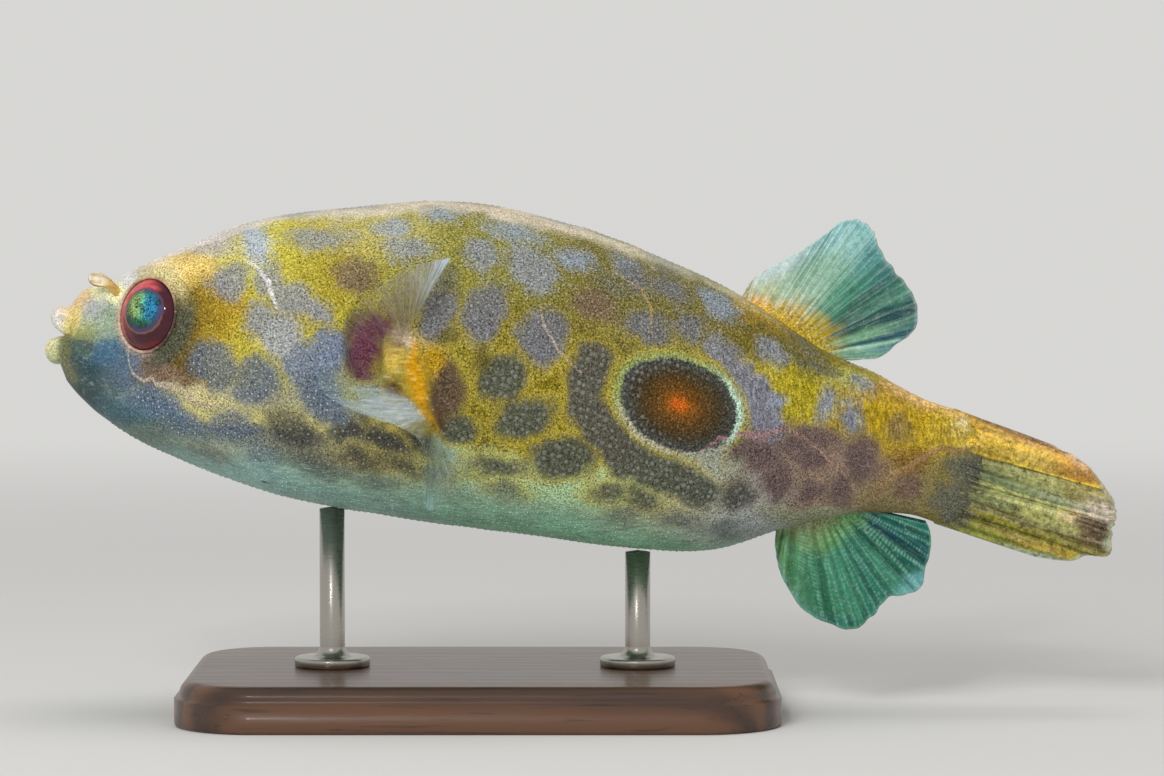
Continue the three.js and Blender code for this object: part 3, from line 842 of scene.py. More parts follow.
# Signed reach inside a run of discs joined by straight stretches: the radius at the nearest
# point of the run less the distance to it.
def insideRun(x, up, run):
    best = np.full(x.shape, -1e3)
    for (ax, az, ar), (bx, bz, br) in zip(run[:-1], run[1:]):
        share = ((x - ax) * (bx - ax) + (up - az) * (bz - az)) / ((bx - ax) ** 2 + (bz - az) ** 2)
        share = np.clip(share, 0, 1)
        gap = np.hypot(x - ax - share * (bx - ax), up - az - share * (bz - az))
        best = np.maximum(best, ar + share * (br - ar) - gap)
    return best


# Height on the unrolled flank, measured round the skin from its widest line, for each point of
# the body's grid: positive towards the back. side is -1 on the left and 1 on the right.
def unrolled(points, side):
    steps = np.linalg.norm(np.roll(points, -1, axis=1) - points, axis=-1)
    run = np.concatenate([np.zeros((len(points), 1)), np.cumsum(steps, axis=1)[:, :-1]], axis=1)
    half = skin["columns"] // 2
    if side < 0:
        return run[:, half : half + 1] - run
    total = run[:, -1:] + steps[:, -1:]
    return np.where(np.arange(skin["columns"]) < half, run, run - total)


# Moves a mark from its side-view place to the unrolled flank: the unrolled height of the
# nearest skin point on the left, and how much height is stretched there.
def onSkin(x, z):
    left = bodyGrid[..., 1] < 0
    gap = np.hypot(bodyGrid[..., 0] - x, bodyGrid[..., 2] - z) + np.where(left, 0, 1e3)
    i, j = np.unravel_index(np.argmin(gap), gap.shape)
    rise = abs(bodyGrid[i, j + 1, 2] - bodyGrid[i, j - 1, 2])
    run = abs(leftHeight[i, j + 1] - leftHeight[i, j - 1])
    return leftHeight[i, j], min(run / max(rise, 1e-6), 1.9)


# A run's points moved to the unrolled flank.
def placeRun(run):
    return [(x, onSkin(x, z)[0], radius) for x, z, radius in run]


# Distances along and across a mark that rises by some degrees.
def turned(dx, dz, degrees):
    turn = math.radians(degrees)
    return dx * math.cos(turn) + dz * math.sin(turn), dz * math.cos(turn) - dx * math.sin(turn)


# All the marks of one flank over the skin grid. height is the unrolled height, jitter how far
# the spots stray from their written places.
def markFlank(height, jitter, seed):
    random = np.random.default_rng(seed)
    wobble = 0.5 * softPair(surface, 2.3, seed) + 0.22 * softPair(surface, 0.9, seed + 2)
    x, up = surface[..., 0] + wobble[..., 0], height + wobble[..., 1]
    inside = np.full(x.shape, -4.0)
    weightSum = np.full(x.shape, 1e-9)
    colourSum = np.zeros(x.shape + (3,))
    tipSum, radiusSum = np.zeros(x.shape), np.zeros(x.shape)
    pieces = []
    for name, rows in spots.items():
        for markX, markZ, halfLength, halfHeight, rise in rows:
            middle, stretch = onSkin(markX, markZ)
            stray = jitter * random.normal(size=3) * (not tones[name].get("fixed"))
            markX, middle = markX + stray[0], middle + stray[1]
            size = tones[name].get("swell", 1.0) + 0.12 * stray[2]
            ahead, across = turned(x - markX, (up - middle) / stretch, rise)
            reach = 1 - np.hypot(ahead / (halfLength * size), across / (halfHeight * size))
            pieces.append((name, reach * min(halfLength, halfHeight)))
    for name, run in bands.items():
        pieces.append((name, insideRun(x, up, placeRun(run))))
    for name, reach in pieces:
        weight = np.exp(np.clip(4 * reach, -30, 12))
        inside = np.maximum(inside, reach)
        weightSum += weight
        colourSum += weight[..., None] * tint(*tones[name]["colour"])
        tipSum += weight * tones[name]["tip"]
        radiusSum += weight * tones[name]["tipRadius"]
    lineInside = np.full(x.shape, -2.0)
    lineColour = np.zeros(x.shape + (3,))
    trueX, trueUp = surface[..., 0] + 0.12 * wobble[..., 0], height + 0.12 * wobble[..., 1]
    for colour, run in lines:
        reach = insideRun(trueX, trueUp, placeRun(run))
        lineColour = np.where((reach > lineInside)[..., None], tint(*colour), lineColour)
        lineInside = np.maximum(lineInside, reach)
    middle, stretch = onSkin(eyeSpot["x"], eyeSpot["z"])
    dx = surface[..., 0] - eyeSpot["x"] + 0.3 * wobble[..., 0]
    dz = (height - middle) / stretch + 0.3 * wobble[..., 1]
    ahead, across = turned(dx, dz, eyeSpot["rise"])
    return {
        "spotInside": inside,
        "spotColour": colourSum / weightSum[..., None],
        "tip": tipSum / weightSum,
        "tipRadius": radiusSum / weightSum,
        "lineInside": lineInside,
        "lineColour": lineColour,
        "ringAhead": ahead / eyeSpot["halfLength"],
        "ringUp": across / eyeSpot["halfHeight"],
    }


# The colour between the marks: every ground colour weighted by a bell curve of its distance.
def groundColour(x, z):
    total = np.full(x.shape, 1e-6)
    colour = total[..., None] * tint(*plainGround)
    for groundX, groundZ, reachX, reachZ, shade in grounds:
        weight = np.exp(-(((x - groundX) / reachX) ** 2) - ((z - groundZ) / reachZ) ** 2)
        total = total + weight
        colour = colour + weight[..., None] * tint(*shade)
    return colour / total[..., None]


# The marks of both flanks, which meet over the mid line.
bodyGrid = surface[mouthCount:]
leftHeight = unrolled(bodyGrid, -1)
heights = {side: unrolled(surface, side) for side in (-1, 1)}
marksLeft = markFlank(heights[-1], 0.0, 20)
marksRight = markFlank(heights[1], 0.9, 40)
leftShare = ease(1.2, -1.2, surface[..., 1])
blended = ("spotInside", "spotColour", "tip", "tipRadius")  # the others change over at once
marks = {}
for key, left in marksLeft.items():
    share = leftShare if key in blended else np.where(leftShare > 0.5, 1.0, 0.0)
    share = share[..., None] if left.ndim == 3 else share
    marks[key] = share * left + (1 - share) * marksRight[key]

# The ground, with its places strayed so that the patches have soft, uneven borders.
drift = 0.7 * softPair(surface, 5.0, 60) + 0.5 * softPair(surface, 1.3, 64)
drift *= ease(1.5, 4, surface[..., 0])[..., None]
ground = groundColour(surface[..., 0] + drift[..., 0], surface[..., 2] + drift[..., 1])

# The back edge, pale with a painted highlight: its strength fades with the depth under each ring's top.
edge = along([(*row[:3], *tint(*row[3:])) for row in backPaleAndHighlight], surface[..., 0])
under = surface[..., 2].max(axis=1, keepdims=True) - surface[..., 2] + 0.8 * drift[..., 1]
backHighlightShare = edge[..., 1] * ease(2.0, 0.2, under / edge[..., 0])
ground += backHighlightShare[..., None] * (edge[..., 2:] - ground)

# Round each eye, by distance from its line of sight and the way from it: a pale brow above, painted shade
# in the hollow behind, and a thin flushed rim below.
yaw = math.radians(eye["forward"])
for side in (-1, 1):
    away = surface - eyeAt(side)
    radius = fromEye(surface, side)[1]
    back = away[..., 0] * math.cos(yaw) + side * away[..., 1] * math.sin(yaw)
    way = np.degrees(np.arctan2(away[..., 2], back))
    near = (side * surface[..., 1] > 0) * ease(7.2, 6.2, radius)
    for shade, low, high, first, last, strength in eyeRoundAndShade:
        ring = ease(low - 0.3, low + 0.1, radius) * ease(high + 0.7, high - 0.4, radius)
        sector = ease(first - 18, first + 18, way) * ease(last + 18, last - 18, way)
        share = strength * near * ring * sector
        ground += share[..., None] * (tint(*shade) - ground)
ground *= (1 + 0.12 * softNoise(surface, 1.6, 62) + 0.08 * softNoise(surface, 4.2, 63))[..., None]
marks["ground"] = ground
print("markings worked out")


skinLook = {
    "rim": (186, 168, 60),  # brighter ground round a dark spot
    "scratch": (206, 208, 196),
    "tips": (214, 218, 210),
    # the eye-spot's pale ring: in front, behind, below, and at its outer edge
    "ring": [(146, 158, 92), (186, 216, 196), (184, 180, 150), (160, 150, 62)],
}


# Ground and spots meet at a grainy edge, with a brighter rim of ground round each dark spot.
# Then come the eye-spot's rings and the fine lines, a fine light and dark grain, and last the
# paler tips of the spinules.
def makeSkinMaterial():
    n = Nodes("skin_mottled")
    fine = n.noise(6600, 1.0, 0.6)
    grain = n.noise(4400, 2.0, 0.6)
    mottle = n.noise(950, 3.0, 0.6)
    rough = n.plus(n.scale(grain, 0, 1, -0.9, 0.9), n.scale(mottle, 0, 1, -0.9, 0.9))
    rough = n.times(rough, n.scale(n.value("rimLight"), 0, 0.6, 1.0, 0.7))
    inside = n.plus(n.value("spotInside"), rough)
    rim = n.times(n.fade(inside, -1.3, -0.5), n.value("rimLight"))
    ground = n.mix(rim, n.colour("ground"), tint(*skinLook["rim"]))
    spot = n.times(n.fade(inside, -0.8, 0.7), n.value("spotDepth"))
    colour = n.mix(spot, ground, n.colour("spotColour"))

    ahead, up = n.value("ringAhead"), n.value("ringUp")
    radius = n.reach(ahead, up)
    radius = n.plus(radius, n.times(rough, 0.06))
    disc = n.ramp(n.times(radius, 0.8), eyeSpot["disc"])
    front, rear, below, edge = [tint(*shade) for shade in skinLook["ring"]]
    pale = n.mix(n.fade(ahead, 0.0, 0.9), front, rear)
    pale = n.mix(n.fade(up, -0.3, -0.9), pale, below)
    halo = n.mix(n.fade(radius, 1.04, 1.2), pale, edge)
    gap = n.times(n.fade(ahead, 0.1, 0.4), n.fade(up, -0.2, -0.42))  # below and behind
    ring = n.times(n.fade(radius, 1.32, 1.1), n.scale(gap, 0, 1, 1.0, 0.15))
    colour = n.mix(ring, colour, halo)
    colour = n.mix(n.fade(radius, 1.05, 0.96), colour, disc)

    line = n.fade(n.plus(n.value("lineInside"), n.times(rough, 0.1)), -0.14, 0.1)
    colour = n.mix(n.times(line, 0.8), colour, n.colour("lineColour"))
    speck = n.math("MULTIPLY_ADD", grain, 0.5, n.times(fine, 0.5))
    amount = n.value("grainy")
    dark = n.mix(1.0, colour, n.scale(speck, 0.34, 0.66, 0.1, 1.9), "MULTIPLY")
    colour = n.mix(amount, colour, dark)
    light = n.times(n.fade(speck, 0.54, 0.64), n.value("glitter"))
    colour = n.mix(light, colour, n.mix(0.6, colour, (0.62, 0.62, 0.5)))
    fibre = n.noise(2600, 3.0, 0.6, n.stretched((0.22, 1.0, 1.0)))
    strand = n.mix(1.0, colour, n.scale(fibre, 0.3, 0.7, 0.5, 1.5), "MULTIPLY")
    colour = n.mix(n.less(1.0, amount), colour, strand)
    scratch = n.times(n.fade(fibre, 0.6, 0.7), n.less(1.0, amount))
    colour = n.mix(n.times(scratch, 0.5), colour, tint(*skinLook["scratch"]))
    colour = n.mix(n.times(n.value("tipShade"), 0.85), colour, tint(*skinLook["tips"]))
    combed = n.scale(n.noise(3400, 3.0, 0.6, n.stretched((1.0, 1.0, 0.2))), 0.32, 0.68, 0.35, 1.65)
    colour = n.mix(n.value("comb"), colour, n.mix(1.0, colour, combed, "MULTIPLY"))
    height = n.math("MULTIPLY_ADD", mottle, 0.8, speck)
    return n.finish(
        Base_Color=colour,
        Roughness=0.48,
        Normal=n.bump(height, 0.3, 0.00012),
        Specular_IOR_Level=0.22,
    )


lid = {
    "radius": 4.12,
    "height": 1.32,  # of the rim's middle over the eye's middle plane
    "thick": 0.17,
    "around": 96,
    "section": 12,
    "front": (206, 180, 158),
    "top": (186, 164, 124),
    # rear is painted shade on the rim behind the eye.
    "rear": (84, 70, 58),
}
nostril = {
    # share of the length, x, y, z, half height, half thickness
    "path": [
        (0.0, 9.3, 3.9, 3.6, 0.0, 0.0),
        (0.04, 9.2, 4.0, 3.7, 0.75, 0.7),
        (0.18, 8.3, 4.6, 4.9, 0.58, 0.5),
        (0.32, 7.4, 5.0, 5.9, 0.5, 0.42),
        (0.46, 6.6, 5.1, 6.5, 0.52, 0.42),
        (0.6, 5.95, 5.15, 6.8, 0.64, 0.48),
        (0.74, 5.35, 5.2, 6.92, 0.78, 0.52),
        (0.84, 4.8, 5.2, 6.94, 0.76, 0.5),
        (0.91, 4.45, 5.2, 6.92, 0.63, 0.42),
        (0.96, 4.22, 5.2, 6.9, 0.43, 0.28),
        (0.985, 4.12, 5.2, 6.89, 0.25, 0.16),
        (1.0, 4.08, 5.2, 6.89, 0.0, 0.0),
    ],
    "dish": 0.34,  # depth of the hollow in the flap
    "droop": (0.0, 1.1),  # how far the left and the right flap hang down
    "rings": 56,
    "section": 32,
    "stalk": (196, 162, 92),
    "flap": (232, 218, 186),
    # shade is the flap's darker colour, partly painted shade.
    "shade": (132, 92, 54),
}


# The attribute values of flesh that carries no marks, only its own colours.
def plainValues(colour):
    count = len(colour)
    return {
        "ground": colour,
        "spotColour": colour,
        "lineColour": colour,
        "spotInside": np.full(count, -4.0),
        "lineInside": np.full(count, -2.0),
        "ringAhead": np.full(count, 9.0),
        "ringUp": np.zeros(count),
        "tipShade": np.zeros(count),
        "rimLight": np.zeros(count),
        "spotDepth": np.zeros(count),
        "grainy": np.full(count, 0.25),
        "glitter": np.zeros(count),
        "comb": np.zeros(count),
    }


# Two unit vectors square to an axis, the second as near upright as it can be.
def crossAxes(axis):
    upright = np.array([0.0, 0.0, 1.0]) - axis * axis[..., 2:]
    upright /= np.linalg.norm(upright, axis=-1, keepdims=True)
    return np.cross(upright, axis), upright


# A ring round the eye: a small circle carried round the line of sight.
def lidShell(side):
    sight = sightOf(side)
    across, upright = crossAxes(sight)
    turn = np.linspace(0, 2 * np.pi, lid["around"] + 1)[:, None, None]
    roll = np.linspace(0, 2 * np.pi, lid["section"], endpoint=False)[None, :, None]
    radius = lid["radius"] + lid["thick"] * np.cos(roll)
    height = lid["height"] + lid["thick"] * np.sin(roll)
    circle = np.cos(turn) * across + np.sin(turn) * upright
    points = eyeAt(side) + radius * circle + height * sight
    # Painted shade: the rim darkens towards its rear. Its top takes the top colour.
    rear = ease(-0.1, 0.75, np.cos(turn) * np.ones_like(roll))
    top = ease(0.2, 0.9, np.sin(turn) * np.ones_like(roll))
    colour = tint(*lid["front"]) * (1 - rear) + tint(*lid["rear"]) * rear
    colour = colour * (1 - top) + tint(*lid["top"]) * top
    faces = gridFaces(lid["around"] + 1, lid["section"], closed=True)
    return flat(points), [faces], plainValues(flat(colour))


# A nostril: an oval section carried along a bent path, widening into a flap with a hollow in
# its outer face.
def nostrilShell(side):
    share = (1 - np.cos(np.pi * np.linspace(0, 1, nostril["rings"]))) / 2
    x, y, z, wide, thick = np.moveaxis(along(nostril["path"], share), -1, 0)
    z = z - nostril["droop"][int(side > 0)] * ease(0.15, 0.7, share)
    heading = np.stack([np.gradient(x), np.gradient(z)], axis=-1)
    heading /= np.linalg.norm(heading, axis=-1, keepdims=True)
    turn = np.linspace(0, 2 * np.pi, nostril["section"], endpoint=False)[None, :]
    flap = ease(0.5, 0.66, share)[:, None]
    dished = nostril["dish"] * flap * ease(0.45, 0.85, np.cos(turn)) * ease(0.5, 0.75, wide)[:, None]
    rise = wide[:, None] * np.sin(turn)
    outward = thick[:, None] * np.cos(turn) - dished
    pointX = x[:, None] + rise * heading[:, 1:]
    pointY = side * (y[:, None] + outward)
    pointZ = z[:, None] - rise * heading[:, :1]
    points = np.stack([pointX, pointY, pointZ], axis=-1)
    # The flap's outer face and top take the flap colour, the rest the shade colour: partly its own
    # colours, partly painted light and shade.
    paleAndLit = ease(0.45, 0.8, np.cos(turn)) * ease(1.0, 0.95, share)[:, None]
    paleAndLit = np.maximum(paleAndLit, 0.75 * ease(0.3, 0.8, -np.sin(turn) * heading[:, :1]))[..., None]
    flapColour = tint(*nostril["shade"]) * (1 - paleAndLit) + tint(*nostril["flap"]) * paleAndLit
    colour = tint(*nostril["stalk"]) * (1 - flap[..., None]) + flapColour * flap[..., None]
    faces = gridFaces(nostril["rings"], nostril["section"], closed=True)
    if side < 0:
        faces = faces[:, ::-1]
    return flat(points), [faces], plainValues(flat(colour))


# How strongly each effect of the material shows: rimLight low on the flank, spotDepth and grainy
# less on the belly, comb on the tail stalk, glitter most on the back.
skinMaterial = makeSkinMaterial()
marks["tipShade"] = np.zeros(surface.shape[:2])
high = ease(6, 15, surface[..., 2])
marks["rimLight"] = 0.6 * ease(28, 40, surface[..., 0]) * ease(80, 70, surface[..., 0]) * (1 - high)
marks["rimLight"] *= ease(-10, -7, surface[..., 2])
marks["spotDepth"] = 0.95 - 0.2 * high - 0.25 * ease(-5, -9, surface[..., 2])
marks["spotDepth"] -= 0.15 * ease(36, 26, surface[..., 0]) * (1 - high)
marks["grainy"] = 0.55 + 0.45 * ease(6, 16, surface[..., 0]) - 0.6 * ease(-7, -11, surface[..., 2])
marks["grainy"] -= 0.2 * ease(84, 92, surface[..., 0]) + 0.35 * backHighlightShare
marks["grainy"] -= 0.75 * ease(-0.2, 0.1, onFlank(surface, finLobe))
marks["comb"] = 0.7 * ease(72, 78, surface[..., 0]) * ease(3, 5, surface[..., 2])
marks["grainy"] -= 0.35 * marks["comb"]
marks["grainy"] = np.clip(marks["grainy"], 0.12, 1)
marks["glitter"] = np.clip(marks["grainy"] - 0.4, 0, 1) * (0.35 + 0.6 * high)
ridges = skin["ridge"] * ease(-0.35, 0.15, marks["lineInside"]) * (marks["lineInside"] > -1)
surface = surface + ridges[..., None] * normals
skinKeys = list(plainValues(np.zeros((1, 3))))
skinFaces = gridFaces(len(surface), skin["columns"], closed=True)
bodyShell = (flat(surface), [skinFaces], {key: flat(marks[key]) for key in skinKeys})
addPiece(
    "skin_whole",
    [bodyShell] + [make(side) for make in (lidShell, nostrilShell) for side in (-1, 1)],
    skinMaterial,
    ["head", "trunk", "tail", "upper_lip", "lower_lip"]
    + [f"{name}_{side}" for name in ("nostril", "pectoral_lobe") for side in ("left", "right")],
)
print("skin made")


# Low pale points all over the back, flanks and belly, each a six-sided dome on the skin.
spinules = {
    "sides": 6,
    "spacing": 0.86,
    "rowSpacing": 0.87,  # between rows, in spacings
    "stray": 0.2,  # how far one strays, in spacings
    "start": 9.0,  # x behind the snout
    "end": 93.0,
    "height": 0.08,
    "sunk": 0.04,
    "shoulder": (0.55, 0.72, 0.75),  # reach, height and paleness of the ring under the top
    "plainTip": 0.08,  # paleness between the spots
    "plainRadius": 0.15,
    "patch": 0.003,
    "seed": 7,
}


# Values of a grid at fractional rows and columns: a blend of the four nearest points.
def sampleGrid(grid, row, column):
    i, j = np.floor(row).astype(int), np.floor(column).astype(int)
    u, v = row - i, column - j
    if grid.ndim == 3:
        u, v = u[:, None], v[:, None]
    i, j = np.clip(i, 0, len(grid) - 2), j % grid.shape[1]
    nextJ = (j + 1) % grid.shape[1]
    near = grid[i, j] * (1 - v) + grid[i, nextJ] * v
    far = grid[i + 1, j] * (1 - v) + grid[i + 1, nextJ] * v
    return near * (1 - u) + far * u


# Rows and columns of the skin grid on an even lattice: rings one row apart along the body, and
# round each ring as many places as its girth has room for, each strayed a little.
def placeSpinules():
    random = np.random.default_rng(spinules["seed"])
    step = np.linalg.norm(np.diff(surface, axis=0), axis=-1).mean(axis=1)
    run = np.concatenate([[0], np.cumsum(step)])
    ringNumbers = np.arange(len(ringsX)) + mouthCount
    first, last = np.interp((spinules["start"], spinules["end"]), ringsX, ringNumbers)
    begin = np.interp(first, np.arange(len(run)), run)
    levels = np.arange(begin, run[int(last)], spinules["spacing"] * spinules["rowSpacing"])
    steps = np.linalg.norm(np.roll(surface, -1, axis=1) - surface, axis=-1)
    girths = np.concatenate([np.zeros((len(surface), 1)), np.cumsum(steps, axis=1)], axis=1)
    rows, columns = [], []
    for k, level in enumerate(levels):
        row = np.interp(level, run, np.arange(len(run)))
        girth = girths[int(round(row))]
        count = int(girth[-1] / spinules["spacing"])
        at = np.arange(count) + 0.5 * (k % 2) + spinules["stray"] * random.uniform(-1, 1, count)
        at = (at / count % 1) * girth[-1]
        columns.append(np.interp(at, girth, np.arange(len(girth))))
        stray = spinules["stray"] * random.uniform(-1, 1, count)
        rows.append(row + stray / np.interp(level, run[1:], step))
    return np.concatenate(rows), np.concatenate(columns)


# Each spinule's paleness and radius from the mark it stands in.
def dressSpinules(row, column, place):
    here = {key: sampleGrid(marks[key], row, column) for key in marks}
    inSpot = ease(-0.3, 0.4, here["spotInside"])
    tip = spinules["plainTip"] + (here["tip"] - spinules["plainTip"]) * inSpot
    radius = spinules["plainRadius"] + (here["tipRadius"] - spinules["plainRadius"]) * inSpot
    ring = np.hypot(here["ringAhead"], here["ringUp"])
    border = ease(0.55, 0.75, ring) * ease(1.08, 1.0, ring)
    inside = ease(1.1, 1.0, ring)
    tip = tip * (1 - inside) + eyeSpot["tip"] * border * ease(0.9, -0.2, here["ringAhead"])
    radius = radius * (1 - inside) + inside * (0.14 + 0.18 * border)
    for side in (-1, 1):
        atLid = fromEye(place, side)[1] <= eye["opening"] + 0.8
        radius = radius * ~(atLid & (side * place[:, 1] >= 0))
    lobe = np.maximum(onFlank(place, finLobe), onFlank(place, gill))
    radius = radius * (lobe < -0.05)
    return here, tip, radius


# A dome for each: a top point, a shoulder ring and a foot ring just under the skin, along the
# skin's normal. Each has a small patch of its own on the map.
def addSpinules():
    row, column = placeSpinules()
    place = sampleGrid(surface, row, column)
    here, tip, radius = dressSpinules(row, column, place)
    keep = radius > 0.05
    row, column, place, tip, radius = row[keep], column[keep], place[keep], tip[keep], radius[keep]
    here = {key: value[keep] for key, value in here.items()}
    random = np.random.default_rng(spinules["seed"] + 1)
    radius = radius * random.uniform(0.8, 1.15, len(radius))
    tip = tip * random.uniform(0.3, 1.2, len(tip))
    outward = sampleGrid(normals, row, column)
    outward /= np.linalg.norm(outward, axis=-1, keepdims=True)
    across = np.cross(outward, [1.0, 0.0, 0.0])
    across /= np.linalg.norm(across, axis=-1, keepdims=True)
    forward = np.cross(across, outward)
    sides = spinules["sides"]
    k = np.arange(sides)
    turn = np.radians(k * 360 / sides)
    # Per point of a dome: reach along the two tangents, height, and share of the tip's paleness.
    wide, high, paleness = spinules["shoulder"]
    reachX = np.concatenate([[0], wide * np.cos(turn), np.cos(turn)])
    reachY = np.concatenate([[0], wide * np.sin(turn), np.sin(turn)])
    lift = np.array([1.0] + [high] * sides + [0.0] * sides)
    lift = lift * (spinules["height"] + spinules["sunk"]) - spinules["sunk"]
    shade = np.array([1.0] + [paleness] * sides + [0.0] * sides)
    tangent = reachX[:, None] * across[:, None] + reachY[:, None] * forward[:, None]
    points = place[:, None] + radius[:, None, None] * tangent + lift[:, None] * outward[:, None]
    values = {key: np.repeat(here[key][:, None], len(shade), axis=1) for key in skinKeys}
    values["tipShade"] = tip[:, None] * shade
    inner, outer, after = 1, 1 + sides, (k + 1) % sides
    crown = np.stack([0 * k, inner + after, inner + k], axis=-1)
    skirt = np.stack([inner + k, inner + after, outer + after, outer + k], axis=-1)
    under = (outer + k)[None]
    mapAt = np.stack([row / len(surface), column / skin["columns"]], axis=-1)
    reach = np.stack([reachX, reachY], axis=-1) * spinules["patch"] / 2
    patches = mapAt[:, None] + reach[None]
    front = place[:, 0] < np.median(place[:, 0])
    for name, chosen in (("spinules_front", front), ("spinules_rear", ~front)):
        start = len(shade) * np.arange(chosen.sum())[:, None, None]
        groups = [(group + start).reshape(-1, group.shape[1]) for group in (crown, skirt, under)]
        part = {key: flat(value[chosen]) for key, value in values.items()}
        shell = (flat(points[chosen]), groups, part)
        addPiece(name, [shell], skinMaterial, patches=patches[chosen].reshape(-1, 2))
    print("spinules made:", len(place))


addSpinules()


eyeLook = {
    "rows": 64,
    "around": 96,
    "back": 1.2,  # depth behind the middle plane
    "pupil": (6, 34, 36),
    # pupil's painted sheen, painted shade low down: in front, in the middle, behind, low, lowest, at its
    # edge
    "glow": [
        (186, 226, 122),
        (116, 226, 184),
        (36, 166, 222),
        (36, 120, 82),
        (30, 56, 34),
        (20, 54, 50),
    ],
    # violet is a painted purple sheen on the pupil.
    "violetSheen": (76, 60, 112),
    "iris": (62, 6, 24),
    # bright and the flush are painted light on the iris, under is painted shade low on it.
    "bright": (160, 38, 56),
    "paintedLitFlush": (222, 104, 100),
    "arc": (216, 86, 90),
    "under": (118, 22, 32),
    "rimBelow": (150, 112, 92),
    "rimAbove": (96, 80, 120),
    "outside": (36, 22, 26),
}


# Colours by distance in millimetres: a speckled green to blue pupil a little behind the middle, with a
# painted sheen that darkens low down as painted shade, a thin pale edge, a dark red iris that lightens
# upwards and forwards as painted light and darkens low down as painted shade, and a dark outer rim.
def makeEyeMaterial():
    n = Nodes("eye_glossy")
    back, up = n.value("eyeBack"), n.value("eyeUp")
    grain = n.noise(6500, 2.0, 0.6)
    broad = n.noise(1100, 2.0, 0.5)
    fuzz = n.plus(n.scale(grain, 0, 1, -0.09, 0.09), n.scale(broad, 0, 1, -0.12, 0.12))
    wander = n.scale(n.noise(420, 1.0, 0.5), 0, 1, -0.3, 0.3)
    outer = n.reach(back, up)
    outer = n.plus(outer, fuzz)
    wide = n.times(n.less(back, 0.35), 0.96)
    tall = n.less(up, 0.3)
    radius = n.reach(wide, tall)
    radius = n.plus(radius, fuzz)
    across = n.plus(n.math("MULTIPLY_ADD", tall, 0.25, wide), wander)
    front, middle, behind, low, lowest, edge = [tint(*shade) for shade in eyeLook["glow"]]
    glow = n.mix(n.fade(across, -0.9, 0.3), front, middle)
    glow = n.mix(n.fade(across, 0.0, 0.9), glow, behind)
    # Painted shade: the pupil darkens low down.
    glow = n.mix(n.fade(n.plus(tall, wander), -0.2, -1.3), glow, low)
    glow = n.mix(n.fade(n.plus(tall, wander), -1.2, -2.2), glow, lowest)
    glow = n.mix(n.times(n.fade(radius, 1.3, 2.3), 0.6), glow, edge)
    speckle = n.fade(n.math("MULTIPLY_ADD", broad, 0.5, grain), 0.6, 0.95)
    pupil = n.mix(speckle, tint(*eyeLook["pupil"]), glow)
    # A painted purple sheen on the pupil.
    violetSheen = n.times(n.fade(radius, 1.7, 2.2), n.fade(n.less(wide, tall), 0.4, 1.6))
    pupil = n.mix(n.times(violetSheen, 0.7), pupil, tint(*eyeLook["violetSheen"]))
    # Painted light: the iris lightens upwards and forwards, with a lit flush towards its outer edge.
    towardsLight = n.less(n.times(up, 0.35), n.times(back, 0.94))
    bright = n.fade(n.plus(towardsLight, wander), -1.2, 3.4)
    iris = n.mix(bright, tint(*eyeLook["iris"]), tint(*eyeLook["bright"]))
    paintedLitFlush = n.times(n.fade(outer, 2.7, 3.8), n.fade(towardsLight, 0.2, 2.6))
    iris = n.mix(n.times(paintedLitFlush, 0.95), iris, tint(*eyeLook["paintedLitFlush"]))
    arc = n.times(n.fade(radius, 2.5, 2.7), n.fade(radius, 3.2, 2.8))
    arc = n.times(arc, n.fade(n.less(tall, wide), 0.8, 2.4))
    iris = n.mix(n.times(arc, 0.75), iris, tint(*eyeLook["arc"]))
    # Painted shade: the iris darkens low down.
    under = n.times(n.fade(up, -2.0, -3.4), n.fade(outer, 3.0, 3.7))
    iris = n.mix(n.times(under, 0.7), iris, tint(*eyeLook["under"]))
    fibres = n.noise(2400, 2.0, 0.6)
    iris = n.mix(0.8, iris, n.mix(1.0, iris, n.scale(fibres, 0.3, 0.7, 0.7, 1.3), "MULTIPLY"))
    band = n.times(n.fade(radius, 2.28, 2.4), n.fade(radius, 2.62, 2.48))
    colour = n.mix(n.fade(radius, 2.25, 2.42), pupil, iris)
    rim = n.mix(n.fade(tall, -0.6, 0.4), tint(*eyeLook["rimBelow"]), tint(*eyeLook["rimAbove"]))
    colour = n.mix(n.times(band, 0.5), colour, rim)
    colour = n.mix(n.fade(outer, 3.92, 4.1), colour, tint(*eyeLook["outside"]))
    return n.finish(
        Base_Color=colour,
        Roughness=0.35,
        Specular_IOR_Level=0.1,
        Coat_Weight=0.7,
        Coat_Roughness=0.02,
    )


# An eyeball: a shallow dome ahead of its middle plane and a shallower one behind it.
def addEye(side, node):
    turn = np.linspace(0, np.pi, eyeLook["rows"])[:, None, None]
    around = np.linspace(0, 2 * np.pi, eyeLook["around"], endpoint=False)[None, :, None]
    sight = sightOf(side)
    across, upright = crossAxes(sight)
    depth = np.where(np.cos(turn) > 0, eye["depth"], eyeLook["back"])
    out = eye["radius"] * np.sin(turn)
    right, up = out * np.cos(around), out * np.sin(around)
    points = eyeAt(side) + right * across + up * upright + depth * np.cos(turn) * sight
    faces = gridFaces(eyeLook["rows"], eyeLook["around"], closed=True)
    if np.dot(np.cross(across, upright), sight) > 0:
        faces = faces[:, ::-1]
    values = {"eyeBack": right.ravel(), "eyeUp": up.ravel()}
    addPiece(node + "_ball", [(flat(points), [faces], values)], eyeMaterial, [node])


eyeMaterial = makeEyeMaterial()
addEye(-1, "eye_left")
addEye(1, "eye_right")
print("eyes made")


